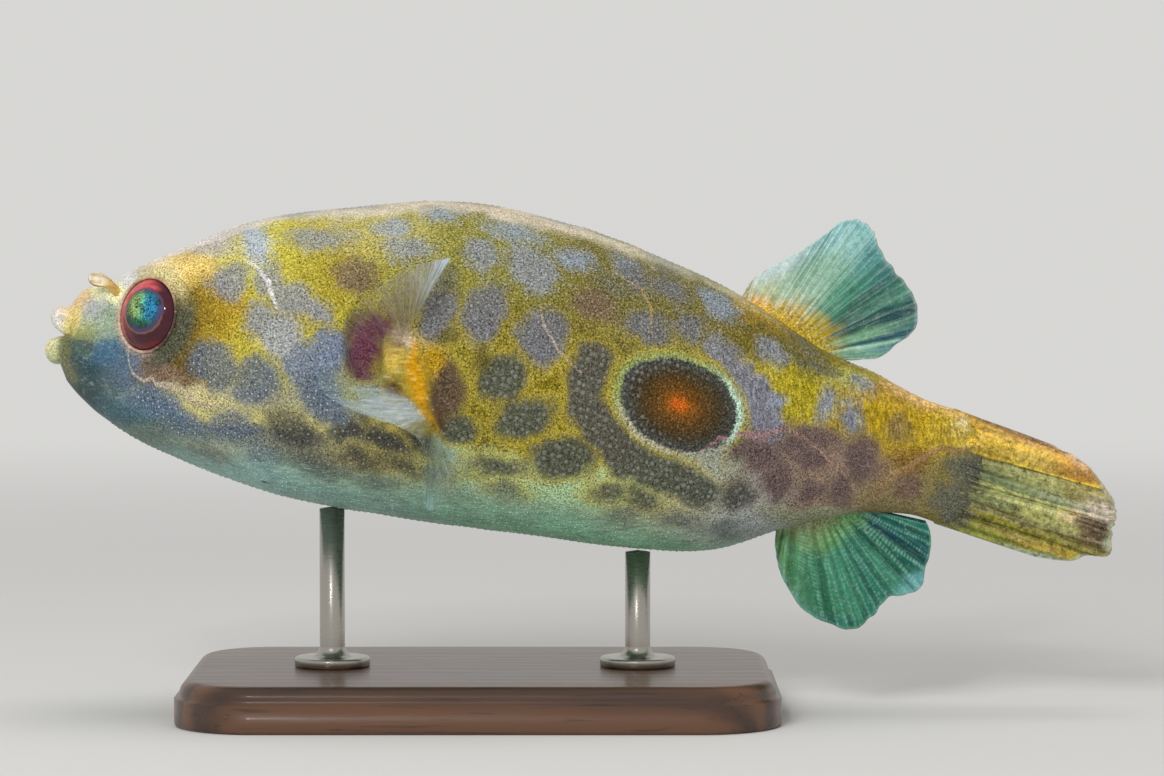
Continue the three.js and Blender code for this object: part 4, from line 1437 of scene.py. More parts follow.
# A fin is a fan of lines from its root to its margin, as rows of (share, x, z), from its front
# edge to its rear one. Its tones are (share, out, reach in share, reach out, colour), with the
# solidity added where the fin is see-through.
dorsalFin = {
    "root": [(0, 75.2, 16.3), (0.5, 81.2, 13.9), (1, 86.8, 11.3)],
    "margin": [
        (0, 75.8, 17.6),
        (0.06, 76.3, 18.8),
        (0.13, 78.2, 20.6),
        (0.22, 80.8, 22.7),
        (0.31, 83.3, 25.0),
        (0.38, 84.9, 26.7),
        (0.44, 86.8, 27.3),
        (0.5, 88.5, 26.5),
        (0.56, 89.2, 24.9),
        (0.63, 91.4, 22.6),
        (0.71, 93.6, 20.8),
        (0.78, 94.9, 18.6),
        (0.85, 94.8, 16.0),
        (0.91, 93.2, 14.3),
        (0.96, 91.5, 12.5),
        (1, 89.4, 12.0),
    ],
    "folds": 3,  # waves across the fan
    "sway": 0.6,  # and how far they swing
    "rays": 18,
    "uneven": 0.9,  # strays the rays from even spacing
    "fork": (0.14, 0.25),  # from a ray's middle to its two lines, at the root and at the margin
    "perRay": 18,  # points across each ray
    "rows": 60,
    "flesh": 1.1,  # half thickness of the fleshy root
    "fleshOut": 0.2,
    "tones": [
        (0.0, 0.15, 0.05, 0.2, (212, 140, 44)),
        (0.13, 0.1, 0.1, 0.17, (236, 168, 8)),
        (0.4, 0.06, 0.2, 0.13, (204, 164, 6)),
        (0.7, 0.06, 0.15, 0.12, (186, 158, 8)),
        (0.98, 0.05, 0.06, 0.15, (170, 168, 60)),
        (0.02, 0.6, 0.04, 0.4, (184, 164, 116)),
        (0.13, 0.4, 0.1, 0.2, (190, 198, 158)),
        (0.3, 0.35, 0.1, 0.16, (161, 201, 171)),
        (0.17, 0.75, 0.1, 0.2, (195, 214, 212)),
        (0.32, 0.6, 0.1, 0.15, (140, 186, 162)),
        (0.36, 0.82, 0.1, 0.15, (162, 212, 214)),
        (0.42, 1, 0.12, 0.06, (122, 184, 188)),
        (0.45, 0.5, 0.05, 0.25, (142, 184, 160)),
        (0.49, 0.85, 0.04, 0.2, (129, 182, 177)),
        (0.53, 0.45, 0.03, 0.2, (112, 168, 138)),
        (0.57, 0.85, 0.03, 0.2, (76, 142, 141)),
        (0.6, 0.55, 0.03, 0.25, (68, 142, 116)),
        (0.64, 0.85, 0.025, 0.2, (56, 118, 116)),
        (0.67, 0.6, 0.025, 0.3, (48, 104, 87)),
        (0.71, 0.8, 0.02, 0.25, (84, 146, 126)),
        (0.745, 0.55, 0.02, 0.4, (24, 78, 76)),
        (0.78, 0.85, 0.02, 0.2, (24, 76, 84)),
        (0.81, 0.5, 0.02, 0.35, (106, 156, 120)),
        (0.83, 0.9, 0.02, 0.2, (30, 88, 92)),
        (0.86, 0.7, 0.016, 0.35, (28, 84, 98)),
        (0.895, 0.5, 0.016, 0.4, (158, 202, 174)),
        (0.92, 0.8, 0.015, 0.2, (74, 132, 138)),
        (0.935, 0.5, 0.012, 0.4, (102, 156, 136)),
        (0.975, 0.6, 0.03, 0.5, (142, 184, 160)),
        (0.8, 1, 0.2, 0.03, (52, 100, 116)),
    ],
    "ray": (214, 232, 214),
    "rayWidth": 0.09,
    "rayShare": 0.95,  # strength of the strongest rays
    "dots": 0.5,  # strength of a ray between its dots
    "foldShade": 0.35,  # painted shade in the folds between rays
    "streaked": 0.04,  # small makes long streaks
    "grainy": 0.35,
    "fleck": 0.4,
    "rootLight": 1.0,  # pale rays near the root
    "joints": 34,  # dots along a ray
    "calm": (0.5, 0.6, 0.4),  # the rays fade to this strength between these shares
    "bare": 0.12,  # how far out the rays are at full strength
}
analFin = {
    "root": [(0, 83.4, -7.4), (0.5, 88.0, -5.7), (1, 92.8, -4.2)],
    "margin": [
        (0, 83.5, -9.6),
        (0.08, 84.2, -11.9),
        (0.16, 85.3, -14.0),
        (0.24, 87.3, -16.2),
        (0.32, 89.6, -17.5),
        (0.4, 92.0, -18.0),
        (0.47, 94.1, -17.8),
        (0.54, 95.9, -15.9),
        (0.61, 97.2, -13.8),
        (0.67, 98.9, -13.1),
        (0.73, 100.4, -12.3),
        (0.8, 100.7, -10.5),
        (0.87, 100.8, -8.6),
        (0.94, 100.6, -6.3),
        (1, 99.8, -4.6),
    ],
    "folds": 4,
    "sway": 0.8,
    "rays": 11,
    "uneven": 0.8,
    "fork": (0.12, 0.25),
    "perRay": 20,
    "rows": 60,
    "flesh": 1.1,
    "fleshOut": 0.24,
    "tones": [
        (0.08, 0.08, 0.1, 0.16, (168, 158, 116)),
        (0.25, 0.07, 0.15, 0.14, (146, 150, 108)),
        (0.45, 0.05, 0.15, 0.12, (138, 140, 94)),
        (0.3, 0.25, 0.12, 0.08, (104, 144, 76)),
        (0.5, 0.2, 0.1, 0.08, (90, 146, 70)),
        (0.75, 0.08, 0.1, 0.08, (96, 150, 80)),
        (0.95, 0.05, 0.1, 0.1, (96, 150, 120)),
        (0.02, 0.3, 0.05, 0.3, (132, 160, 88)),
        (0.12, 0.5, 0.06, 0.25, (92, 140, 76)),
        (0.22, 0.6, 0.08, 0.25, (72, 138, 94)),
        (0.35, 0.6, 0.08, 0.3, (50, 120, 88)),
        (0.5, 0.6, 0.06, 0.3, (64, 140, 110)),
        (0.1, 0.92, 0.1, 0.08, (110, 158, 128)),
        (0.25, 1, 0.12, 0.06, (96, 152, 142)),
        (0.45, 1, 0.12, 0.07, (24, 100, 90)),
        (0.57, 0.7, 0.04, 0.3, (36, 112, 98)),
        (0.64, 0.65, 0.05, 0.3, (62, 132, 108)),
        (0.74, 0.45, 0.05, 0.25, (20, 92, 74)),
        (0.73, 0.98, 0.06, 0.08, (120, 184, 190)),
        (0.8, 0.75, 0.04, 0.2, (26, 98, 84)),
        (0.87, 0.55, 0.04, 0.35, (8, 78, 88)),
        (0.95, 0.6, 0.04, 0.4, (20, 104, 92)),
    ],
    "ray": (160, 220, 190),
    "rayWidth": 0.16,
    "rayShare": 0.8,
    "dots": 0.2,
    "foldShade": 0.75,
    "streaked": 0.06,
    "grainy": 0.35,
    "fleck": 0.5,
    "rootLight": 0.0,
    "joints": 26,
    "calm": (0.0, 1.0, 1.0),
    "bare": 0.22,
}
tailFin = {
    "root": [(0, 101.3, 8.15), (1, 101.3, -4.85)],
    "margin": [
        (0, 112.4, 5.9),
        (0.13, 116.0, 4.6),
        (0.24, 118.2, 3.1),
        (0.36, 119.8, 1.3),
        (0.5, 120.5, -0.6),
        (0.65, 120.5, -3.0),
        (0.78, 120.3, -5.2),
        (0.85, 118.2, -5.5),
        (0.92, 116.0, -6.4),
        (1, 112.6, -6.5),
    ],
    "folds": 4,
    "sway": 0.35,
    "rays": 10,
    "uneven": 0.85,
    "fork": (0.05, 0.2),
    "perRay": 26,
    "rows": 90,
    "flesh": 2.7,
    "thin": 0.7,
    "tones": [
        (0.1, 0.1, 0.1, 0.06, (216, 176, 42)),
        (0.48, 0.1, 0.14, 0.08, (80, 84, 78)),
        (0.82, 0.1, 0.12, 0.07, (68, 72, 66)),
        (0.97, 0.12, 0.04, 0.06, (90, 94, 38)),
        (0.02, 0.35, 0.03, 0.4, (164, 120, 50)),
        (0.03, 0.8, 0.03, 0.3, (176, 138, 104)),
        (0.08, 0.6, 0.05, 0.3, (210, 158, 92)),
        (0.1, 0.3, 0.06, 0.15, (220, 176, 46)),
        (0.12, 0.95, 0.08, 0.08, (206, 168, 130)),
        (0.2, 0.45, 0.05, 0.25, (240, 200, 76)),
        (0.22, 0.8, 0.05, 0.15, (222, 156, 56)),
        (0.27, 0.25, 0.04, 0.1, (172, 140, 24)),
        (0.3, 0.6, 0.02, 0.4, (248, 216, 62)),
        (0.33, 0.5, 0.015, 0.5, (98, 80, 20)),
        (0.38, 0.3, 0.04, 0.12, (146, 150, 92)),
        (0.4, 0.55, 0.04, 0.15, (168, 168, 104)),
        (0.42, 0.75, 0.04, 0.1, (158, 146, 76)),
        (0.47, 0.35, 0.02, 0.15, (112, 134, 92)),
        (0.48, 0.65, 0.025, 0.15, (146, 160, 122)),
        (0.49, 0.86, 0.05, 0.08, (212, 196, 180)),
        (0.56, 0.35, 0.05, 0.18, (206, 210, 146)),
        (0.57, 0.6, 0.04, 0.14, (198, 200, 130)),
        (0.6, 0.73, 0.05, 0.05, (230, 200, 154)),
        (0.66, 0.87, 0.07, 0.07, (86, 64, 46)),
        (0.68, 0.6, 0.03, 0.15, (180, 178, 104)),
        (0.66, 0.25, 0.03, 0.12, (136, 142, 88)),
        (0.72, 0.4, 0.02, 0.4, (84, 78, 20)),
        (0.77, 0.45, 0.03, 0.35, (128, 122, 24)),
        (0.82, 0.6, 0.02, 0.4, (100, 92, 10)),
        (0.86, 0.4, 0.025, 0.3, (118, 114, 24)),
        (0.9, 0.7, 0.03, 0.2, (170, 146, 44)),
        (0.94, 0.4, 0.02, 0.3, (124, 128, 30)),
        (0.98, 0.35, 0.02, 0.3, (150, 154, 46)),
        (0.98, 0.8, 0.03, 0.2, (168, 186, 160)),
        (0.3, 1, 0.25, 0.02, (182, 190, 178)),
        (0.75, 1, 0.2, 0.02, (160, 174, 140)),
    ],
    "ray": (236, 224, 176),
    "rayWidth": 0.1,
    "rayShare": 0.35,
    "dots": 0.7,
    "foldShade": 0.6,
    "streaked": 0.05,
    "grainy": 0.8,
    "fleck": 0.75,
    "rootLight": 0.0,
    "joints": 40,
    "calm": (0.0, 1.0, 1.0),
    "bare": 0.25,
}
chestFin = {
    # share, x, stand-off from the flank, z
    "root": [
        (0, 39.8, 0.4, 7.6),
        (0.3, 40.3, 0.9, 5.0),
        (0.5, 41.8, 1.1, 1.4),
        (0.7, 43.4, 0.7, -1.5),
        (1, 44.8, 0.3, -3.2),
    ],
    "margin": [
        (0, 43.3, 5.2, 16.1),
        (0.07, 41.3, 5.7, 15.4),
        (0.14, 38.6, 6.1, 14.1),
        (0.22, 35.9, 6.5, 11.4),
        (0.29, 33.8, 6.7, 8.6),
        (0.35, 32.8, 6.7, 6.4),
        (0.41, 32.0, 6.6, 4.2),
        (0.47, 31.4, 6.5, 2.0),
        (0.52, 31.5, 6.3, 0.5),
        (0.57, 32.5, 6.0, -0.5),
        (0.62, 34.6, 5.6, -1.4),
        (0.67, 38.0, 5.0, -2.2),
        (0.72, 41.2, 4.4, -2.8),
        (0.76, 43.2, 4.2, -3.9),
        (0.8, 44.3, 4.6, -6.4),
        (0.85, 45.0, 5.2, -11.2),
        (0.91, 47.0, 4.8, -9.9),
        (0.96, 48.8, 4.2, -6.9),
        (1, 49.6, 3.4, -4.5),
    ],
    "bow": 1.0,
    "rays": 28,
    "uneven": 1.4,
    "fork": (0.0, 0.24),
    "perRay": 10,
    "rows": 52,
    "flesh": 0.45,
    "fleshOut": 0.15,
    "rayLift": 0.03,
    "veil": True,
    "tones": [
        (0.4, 0.0, 0.5, 0.04, (206, 150, 40), 0.1),
        (0.02, 0.15, 0.06, 0.12, (206, 176, 122), 0.35),
        (0.0, 0.98, 0.05, 0.16, (212, 228, 250), 1),
        (0.01, 0.6, 0.035, 0.3, (196, 206, 198), 0.95),
        (0.07, 0.8, 0.05, 0.16, (176, 180, 172), 0.7),
        (0.08, 0.4, 0.05, 0.2, (158, 148, 122), 0.6),
        (0.15, 0.93, 0.06, 0.12, (148, 144, 126), 0.3),
        (0.16, 0.55, 0.06, 0.25, (138, 126, 102), 0.55),
        (0.25, 0.93, 0.05, 0.12, (112, 104, 92), 0.18),
        (0.27, 0.5, 0.06, 0.25, (112, 70, 72), 0.3),
        (0.34, 0.93, 0.05, 0.12, (120, 108, 116), 0.12),
        (0.36, 0.5, 0.06, 0.3, (120, 70, 84), 0.08),
        (0.43, 0.93, 0.04, 0.2, (150, 160, 192), 0.05),
        (0.45, 0.5, 0.05, 0.25, (100, 60, 70), 0.03),
        (0.5, 0.75, 0.025, 0.2, (172, 184, 130), 0.12),
        (0.525, 0.5, 0.02, 0.15, (206, 220, 222), 0.32),
        (0.53, 0.95, 0.03, 0.12, (160, 184, 190), 0.12),
        (0.56, 0.75, 0.02, 0.2, (172, 184, 140), 0.1),
        (0.585, 0.42, 0.02, 0.18, (206, 220, 226), 0.42),
        (0.6, 0.95, 0.03, 0.12, (168, 196, 206), 0.25),
        (0.63, 0.75, 0.02, 0.16, (190, 212, 224), 0.3),
        (0.66, 0.35, 0.03, 0.26, (214, 226, 228), 0.52),
        (0.67, 0.95, 0.02, 0.12, (176, 200, 208), 0.3),
        (0.7, 0.75, 0.02, 0.25, (196, 212, 212), 0.4),
        (0.75, 0.5, 0.025, 0.4, (160, 164, 136), 0.3),
        (0.79, 0.5, 0.02, 0.4, (120, 140, 120), 0.1),
        (0.835, 0.7, 0.012, 0.4, (166, 204, 200), 0.6),
        (0.855, 0.95, 0.012, 0.1, (160, 204, 200), 0.6),
        (0.88, 0.4, 0.03, 0.3, (110, 136, 124), 0.3),
        (0.93, 0.4, 0.035, 0.25, (120, 146, 136), 0.4),
        (0.94, 0.8, 0.03, 0.2, (150, 168, 150), 0.15),
        (1, 0.5, 0.02, 0.6, (150, 160, 120), 0.08),
    ],
    "ray": (222, 230, 232),
    "rayWidth": 0.06,
    "rayShare": 0.16,
    "dots": 0.85,
    "foldShade": 0.12,
    "streaked": 0.02,
    "grainy": 0.2,
    "fleck": 0.0,
    "rootLight": 0.0,
    "joints": 36,
    "calm": (0.0, 1.0, 1.0),
    "bare": 0.25,
}


# The fan of a fin that lies in the mid plane: straight lines from root to margin, which sway
# sideways in a sine wave that grows outwards.
def medianFan(fin, share, out):
    root, margin = along(fin["root"], share)[None], along(fin["margin"], share)[None]
    place = root + (margin - root) * out[:, None, None]
    sway = fin["sway"] * np.clip(out, 0, 1)[:, None] ** 1.3 * np.sin(2 * np.pi * fin["folds"] * share)
    return np.stack([place[..., 0], sway, place[..., 1]], axis=-1)


# The fan of a chest fin: from root to margin over the flank, bowed outwards half-way.
def chestFan(fin, share, out):
    rootX, rootOff, rootZ = along(fin["root"], share).T
    marginX, marginOff, marginZ = along(fin["margin"], share).T
    root = np.stack([rootX, flank(rootX, rootZ) + rootOff, rootZ], axis=-1)
    margin = np.stack([marginX, flank(marginX, marginZ) + marginOff, marginZ], axis=-1)
    place = root + (margin - root) * out[:, None, None]
    inward = np.clip(out, 0, 1)
    place[..., 1] += (fin["bow"] * 4 * inward * (1 - inward))[:, None]
    return place


# The count of rays up to each share of the fin, a little uneven, as real rays are.
def rayCount(fin, share):
    sway = np.sin(2 * np.pi * 1.7 * share + 0.6) - math.sin(0.6)
    return fin["rays"] * share + fin["uneven"] * sway * share * (1 - share) * 4


# How near each point is to a ray's middle: a bell across it. Each ray is a pair of lines that
# part further past half-way.
def rayHeight(fin, share, out, spacing):
    middle = np.abs(rayCount(fin, share) % 1 - 0.5)[None]
    near, far = fin["fork"]
    gap = np.abs(middle - (near + (far - near) * ease(0.35, 1, out))[:, None]) * spacing
    return np.exp(-((gap / (1.6 * fin["rayWidth"])) ** 2))


# One fin as a thin closed shell with raised rays, and its values for the material.
def finShell(fin, fan, halfThickness, side):
    share = np.linspace(0, 1, fin["rays"] * fin["perRay"] + 1)
    out = np.linspace(-0.06, 1, fin["rows"])
    sheet = fan(fin, share, out)
    scallop = 0.005 * (1 + np.cos(2 * np.pi * rayCount(fin, share))) * ease(0.5, 1, out)[:, None]
    scallop += 0.012 * (softNoise(sheet, 1.1, 71) + 0.4) * ease(0.8, 1, out)[:, None]
    sheet -= np.maximum(scallop, 0)[..., None] * (sheet - sheet[:1])
    spacing = np.linalg.norm(np.gradient(sheet, share, axis=1), axis=-1) / fin["rays"]
    half = halfThickness(fin, share, out) + fin.get("rayLift", 0.07) * rayHeight(fin, share, out, spacing)
    total = np.full(half.shape, 1e-9)
    colour, solid = np.zeros(half.shape + (3,)), np.zeros(half.shape)
    fromShare = share[None] + 0.012 * softNoise(sheet, 1.6, 72)
    fromOut = out[:, None] + softNoise(sheet, 1.0, 73) * (0.02 + 0.03 * ease(0.1, 0.3, out)[:, None])
    fromOut = fromOut + 0.008 * np.cos(4 * np.pi * rayCount(fin, share)) * ease(0.4, 0.2, out)[:, None]
    for atShare, atOut, reachShare, reachOut, tone, *solidity in fin["tones"]:
        away = ((fromShare - atShare) / reachShare) ** 2 + ((fromOut - atOut) / reachOut) ** 2
        weight = np.exp(-away) + 1e-7 / (1 + away)
        total += weight
        colour += weight[..., None] * tint(*tone)
        solid += weight * (solidity[0] if solidity else 1)
    if side:
        sheet = sheet * np.array([1, side, 1])
    values = {
        "tone": colour / total[..., None],
        "solid": solid / total,
        "share": np.broadcast_to(share, half.shape),
        "count": np.broadcast_to(rayCount(fin, share) + 1, half.shape),
        "out": np.broadcast_to(out[:, None], half.shape),
        "spacing": spacing,
    }
    return sheetShell(sheet, half, values)


# Half thickness: thick flesh at the root that thins to a membrane, down to a fine edge.
def membrane(fin, share, out):
    flesh = fin["flesh"] * (1 - ease(-0.06, fin["fleshOut"], out)) ** 1.2
    edges = ease(0, 0.03, share) * ease(1, 0.97, share)
    half = (0.2 - 0.14 * out + flesh)[:, None] * (0.35 + 0.65 * edges)
    return half * (0.4 + 0.6 * ease(1, 0.97, out))[:, None]


# Half thickness of the folded tail fin: full in the middle and thin at its two edges.
def foldedTail(fin, share, out):
    bulk = fin["flesh"] + (fin["thin"] - fin["flesh"]) * ease(0, 1, out)
    section = np.sqrt(np.clip(1 - (2 * share - 1) ** 2, 0, 1))
    pleat = 0.85 + 0.15 * np.cos(2 * np.pi * rayCount(fin, share))
    half = bulk[:, None] * (section * pleat)[None] + 0.06
    return half * (0.15 + 0.85 * ease(1, 0.94, out))[:, None]


# Rays are pairs of pale, jointed lines with folds between them darkened as painted shade, and finer
# streaks along them.
def makeFinMaterial(name, fin):
    n = Nodes(name)
    share, out, spacing, count = n.value("share"), n.value("out"), n.value("spacing"), n.value("count")
    number = n.math("FLOOR", count)
    ownPlace = n.add("ShaderNodeCombineXYZ", {0: n.times(number, 7.31)}).outputs[0]
    own = n.noise(1.0, 0.0, 0.5, ownPlace)  # one value for each ray
    middle = n.math("ABSOLUTE", n.less(n.math("FRACT", count), 0.5))
    fork = n.scale(n.fade(out, 0.35, 1.0), 0, 1, *fin["fork"])
    grain = n.noise(4200, 2.0, 0.6)
    broad = n.noise(1300, 2.0, 0.5)
    drift = n.plus(share, n.scale(n.noise(380, 2.0, 0.5), 0, 1, -0.015, 0.015))
    fan = n.add("ShaderNodeCombineXYZ", {0: drift, 1: n.times(out, fin["streaked"])}).outputs[0]
    streak = n.noise(fin["rays"] * 5.0, 3.0, 0.65, fan)
    gap = n.times(n.math("ABSOLUTE", n.less(middle, fork)), spacing)
    gap = n.plus(gap, n.scale(grain, 0, 1, -0.07, 0.07))
    ray = n.fade(gap, fin["rayWidth"] * 1.5, fin["rayWidth"] * 0.5)
    turn = n.math("MULTIPLY_ADD", out, fin["joints"] * 2 * math.pi, n.times(number, 1.7))
    joints = n.fade(n.plus(n.math("SINE", turn), n.scale(broad, 0.3, 0.7, -0.5, 0.5)), -0.6, 0.5)
    ray = n.times(ray, n.scale(joints, 0, 1, fin["dots"], 1.0))
    ray = n.times(ray, n.scale(n.plus(streak, own), 0.75, 1.2, 0.3, fin["rayShare"]))
    calmFrom, calmTo, calmShare = fin["calm"]
    ray = n.times(ray, n.scale(n.fade(share, calmFrom, calmTo), 0, 1, 1.0, calmShare))
    ripple = n.fade(streak, 0.42, 0.68)
    shadedFold = n.times(n.fade(middle, 0.24, 0.46), n.scale(n.plus(streak, own), 0.75, 1.25, 0.35, 1.2))
    tone = n.colour("tone")
    bright = n.mix(0.5, tone, tint(*fin["ray"]))
    light = n.times(n.fade(out, 0.1, 0.17), n.fade(out, 0.5, 0.22))
    light = n.times(n.times(light, n.fade(share, 0.62, 0.5)), fin["rootLight"])
    bright = n.mix(light, bright, tint(232, 236, 220))
    # Painted shade: the folds between rays darken towards this colour.
    dark = n.mix(1.0, tone, (0.2, 0.26, 0.24), "MULTIPLY")
    body = n.fade(out, 0.02, fin["bare"])
    colour = n.mix(n.times(n.times(shadedFold, fin["foldShade"]), body), tone, dark)
    colour = n.mix(n.times(ripple, 0.25), colour, bright)
    colour = n.mix(n.times(ray, body), colour, bright)
    speck = n.math("MULTIPLY_ADD", broad, 0.5, n.times(grain, 0.5))
    low, high = 1 - fin["grainy"], 1 + fin["grainy"]
    colour = n.mix(1.0, colour, n.scale(speck, 0.3, 0.7, low, high), "MULTIPLY")
    root = n.less(1.0, n.fade(out, 0.05, 0.22))
    rough = n.mix(1.0, colour, n.scale(grain, 0.3, 0.7, 0.45, 1.55), "MULTIPLY")
    colour = n.mix(root, colour, rough)
    fleck = n.times(n.fade(n.noise(2600, 3.0, 0.7), 0.58, 0.7), fin["fleck"])
    colour = n.mix(fleck, colour, n.mix(0.5, tone, tint(226, 232, 220)))
    margin = n.fade(out, 0.96, 1.0)
    colour = n.mix(n.times(margin, 0.3), colour, tint(*fin["ray"]))
    height = n.math("MULTIPLY_ADD", ray, 1.0, n.times(ripple, 0.3))
    height = n.math("MULTIPLY_ADD", grain, 0.3, height)
    inputs = {
        "Base_Color": colour,
        "Roughness": 0.4,
        "Specular_IOR_Level": 0.25,
        "Normal": n.bump(height, 0.5, 0.00008),
    }
    if fin.get("veil"):
        lines = n.plus(n.times(ray, 0.3), n.scale(streak, 0.33, 0.67, 0.25, 1.5))
        solid = n.times(n.value("solid"), lines)
        solid = n.times(solid, n.scale(margin, 0, 1, 1.0, 0.6))
        solid = n.times(solid, n.fade(out, 0.0, 0.12))
        inputs["Alpha"] = n.math("MINIMUM", solid, 1.0)
    return n.finish(**inputs)


fins = [
    ("dorsal_fin_rays", dorsalFin, medianFan, membrane, 0, "dorsal_fin"),
    ("anal_fin_rays", analFin, medianFan, membrane, 0, "anal_fin"),
    ("tail_fin_rays", tailFin, medianFan, foldedTail, 0, "tail_fin"),
    ("pectoral_left_rays", chestFin, chestFan, membrane, -1, "pectoral_fin_left"),
    ("pectoral_right_rays", chestFin, chestFan, membrane, 1, "pectoral_fin_right"),
]
finMaterials = {
    "pectoral_fins": makeFinMaterial("fin_veil", chestFin),
    "dorsal_fin": makeFinMaterial("fin_dorsal", dorsalFin),
    "anal_fin": makeFinMaterial("fin_anal", analFin),
    "tail_fin": makeFinMaterial("fin_tail", tailFin),
}
for name, fin, fan, thickness, side, node in fins:
    slot = "pectoral_fins" if side else node
    addPiece(name, [finShell(fin, fan, thickness, side)], finMaterials[slot], [node])
print("fins made")


standBase = {
    "corner": 0.009,
    "edge": 0.0014,  # radius of the rolled top edge
    "step": 0.0006,  # and the small step under it
    "foot": 0.0004,  # radius of the rolled bottom edge
    "hollow": 0.0003,  # depth of the underside
    "around": 40,  # points per corner
    "dark": (56, 36, 25),
    "light": (96, 63, 40),
}
standRod = {
    "radius": 1.4,
    "footRadius": 4.2,
    "footHeight": 1.1,
    "fillet": 1.2,
    "bevel": 0.15,  # under the foot
    "footEdge": 0.35,  # radius of the foot's upper edge
    "point": 0.2,  # height of the blunt cone at the top
    "sides": 64,
    "colour": (176, 172, 164),
}


# Dark oiled wood: long rings along x, warped by noise, with fine pores along the grain.
def makeWoodMaterial():
    n = Nodes("stand_wood")
    spread = n.stretched((6, 60, 60))
    warp = n.noise(3.0, 3.0, 0.5, spread)
    rings = n.add(
        "ShaderNodeTexWave",
        {"Vector": spread, "Scale": 1.6, "Distortion": 5.0, "Detail": 3.0, "Detail Scale": 1.4},
        bands_direction="Y",
    ).outputs["Fac"]
    pores = n.noise(1.0, 2.0, 0.6, n.stretched((120, 2400, 2400)))
    tone = n.math("MULTIPLY_ADD", rings, 0.5, n.times(warp, 0.5))
    colour = n.mix(n.fade(tone, 0.2, 0.85), tint(*standBase["dark"]), tint(*standBase["light"]))
    colour = n.mix(n.times(n.fade(pores, 0.56, 0.7), 0.5), colour, (0.01, 0.006, 0.004))
    return n.finish(
        Base_Color=colour,
        Roughness=n.scale(pores, 0, 1, 0.3, 0.45),
        Normal=n.bump(pores, 0.25, 0.0001),
        Coat_Weight=0.25,
        Coat_Roughness=0.15,
    )


# Brushed steel: noise squeezed along z into fine rings.
def makeSteelMaterial():
    n = Nodes("stand_steel")
    brushed = n.noise(1.0, 2.0, 0.6, n.stretched((300, 300, 9000)))
    return n.finish(
        Base_Color=tint(*standRod["colour"]),
        Metallic=1.0,
        Roughness=n.scale(brushed, 0, 1, 0.2, 0.38),
        Normal=n.bump(brushed, 0.15, 0.00003),
    )


# Model metres to the body frame in millimetres, the turn of toModel undone.
def toBody(points):
    x = points[..., 0] * 1000 - mouthAt[0]
    y = points[..., 1] * 1000
    z = points[..., 2] * 1000 - mouthAt[1]
    return np.stack([x * pitchCos - z * pitchSin, y, x * pitchSin + z * pitchCos], axis=-1)


# The base: its rounded outline carried up a profile of (inset, height), from the middle of its
# underside, hollowed so that only the rim stands on the floor, to the middle of its top.
def addBase():
    low, high = np.array(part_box("stand_base"))
    half, centre = (high - low) / 2, (high + low) / 2
    corner, edge, step = standBase["corner"], standBase["edge"], standBase["step"]
    around, footRadius = standBase["around"], standBase["foot"]
    roll = np.radians(np.linspace(0, 90, 12))
    profile = [(0.0, footRadius), (0.0, high[2] - edge - step)]
    profile += [(step * 0.8, high[2] - edge - step * 0.8)]
    profile += [(step + edge * (1 - math.cos(t)), high[2] - edge * (1 - math.sin(t))) for t in roll]
    foot = [(footRadius * (1 - math.sin(t)), footRadius * (1 - math.cos(t))) for t in roll]
    quarters = [np.linspace(start, start + 90, around) for start in (0, 90, 180, 270)]
    turn = np.radians(np.concatenate(quarters))
    outward = np.stack([np.cos(turn), np.sin(turn)], axis=-1)
    quarter = np.repeat([[1, 1], [-1, 1], [-1, -1], [1, -1]], around, axis=0)
    rings = []
    for inset, height in foot + profile:
        reach = quarter * (half[:2] - corner) + (corner - inset) * outward
        rings.append(np.column_stack([reach, np.full(len(turn), height)]))
    shares = (0.75, 0.5, 0.25, 0.0)
    top = [rings[-1] * [share, share, 1] for share in shares]
    under = [rings[0] * [share, share, 1] + [0, 0, standBase["hollow"]] for share in shares[::-1]]
    rings = np.array(under + rings + top) + [centre[0], centre[1], 0]
    shell = tubeShell(toBody(rings), {})
    addPiece("stand_base_wood", [shell], makeWoodMaterial(), ["stand_base"])


# A rod: a profile of (radius, height) turned about its axis, with a flange at its foot.
def addRod(node, material):
    low, high = np.array(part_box(node)) * 1000
    centre, radius, fillet = (low + high) / 2, standRod["radius"], standRod["fillet"]
    foot, footRadius = low[2] + standRod["footHeight"], standRod["footRadius"]
    bevel, edge = standRod["bevel"], standRod["footEdge"]
    profile = [(0, low[2]), (footRadius - bevel, low[2]), (footRadius, low[2] + bevel)]
    for t in np.radians(np.linspace(0, 90, 8)):
        profile.append((footRadius - edge * (1 - math.cos(t)), foot - edge * (1 - math.sin(t))))
    for t in np.radians(np.linspace(0, 90, 12)):
        profile.append((radius + fillet * (1 - math.sin(t)), foot + fillet * (1 - math.cos(t))))
    profile += [(radius, high[2] - standRod["point"]), (0, high[2])]
    turn = np.linspace(0, 2 * np.pi, standRod["sides"], endpoint=False)
    reach, height = np.array(profile).T[..., None]
    x, y = centre[0] + reach * np.cos(turn), centre[1] + reach * np.sin(turn)
    rings = np.stack([x, y, height + 0 * turn], axis=-1)
    addPiece(node + "_steel", [tubeShell(toBody(rings / 1000), {})], material, [node])


addBase()
steel = makeSteelMaterial()
addRod("stand_rod_front", steel)
addRod("stand_rod_rear", steel)
print("stand made")


studio = {
    "floor": (0.74, 0.73, 0.71),
    "floorHalf": 3.0,
    "backdrop": (0.68, 0.675, 0.66),
    "fill": 0.34,
    # name, place, size, power, whether shiny parts mirror it
    "lights": [
        ("key", (-0.2, -0.55, 0.38), 0.3, 2.4, False),
        ("top", (0.03, 0.05, 0.6), 0.35, 1.0, False),
        ("glint", (-0.1, -0.5, 0.3), 0.03, 0.25, True),
    ],
    "lightsAim": (0.01, 0, 0.035),
    "distance": 0.48,
    "aim": (0.0113, 0.0, 0.036),
    "elevation": 3.0,
    "lens": 133.7,
}


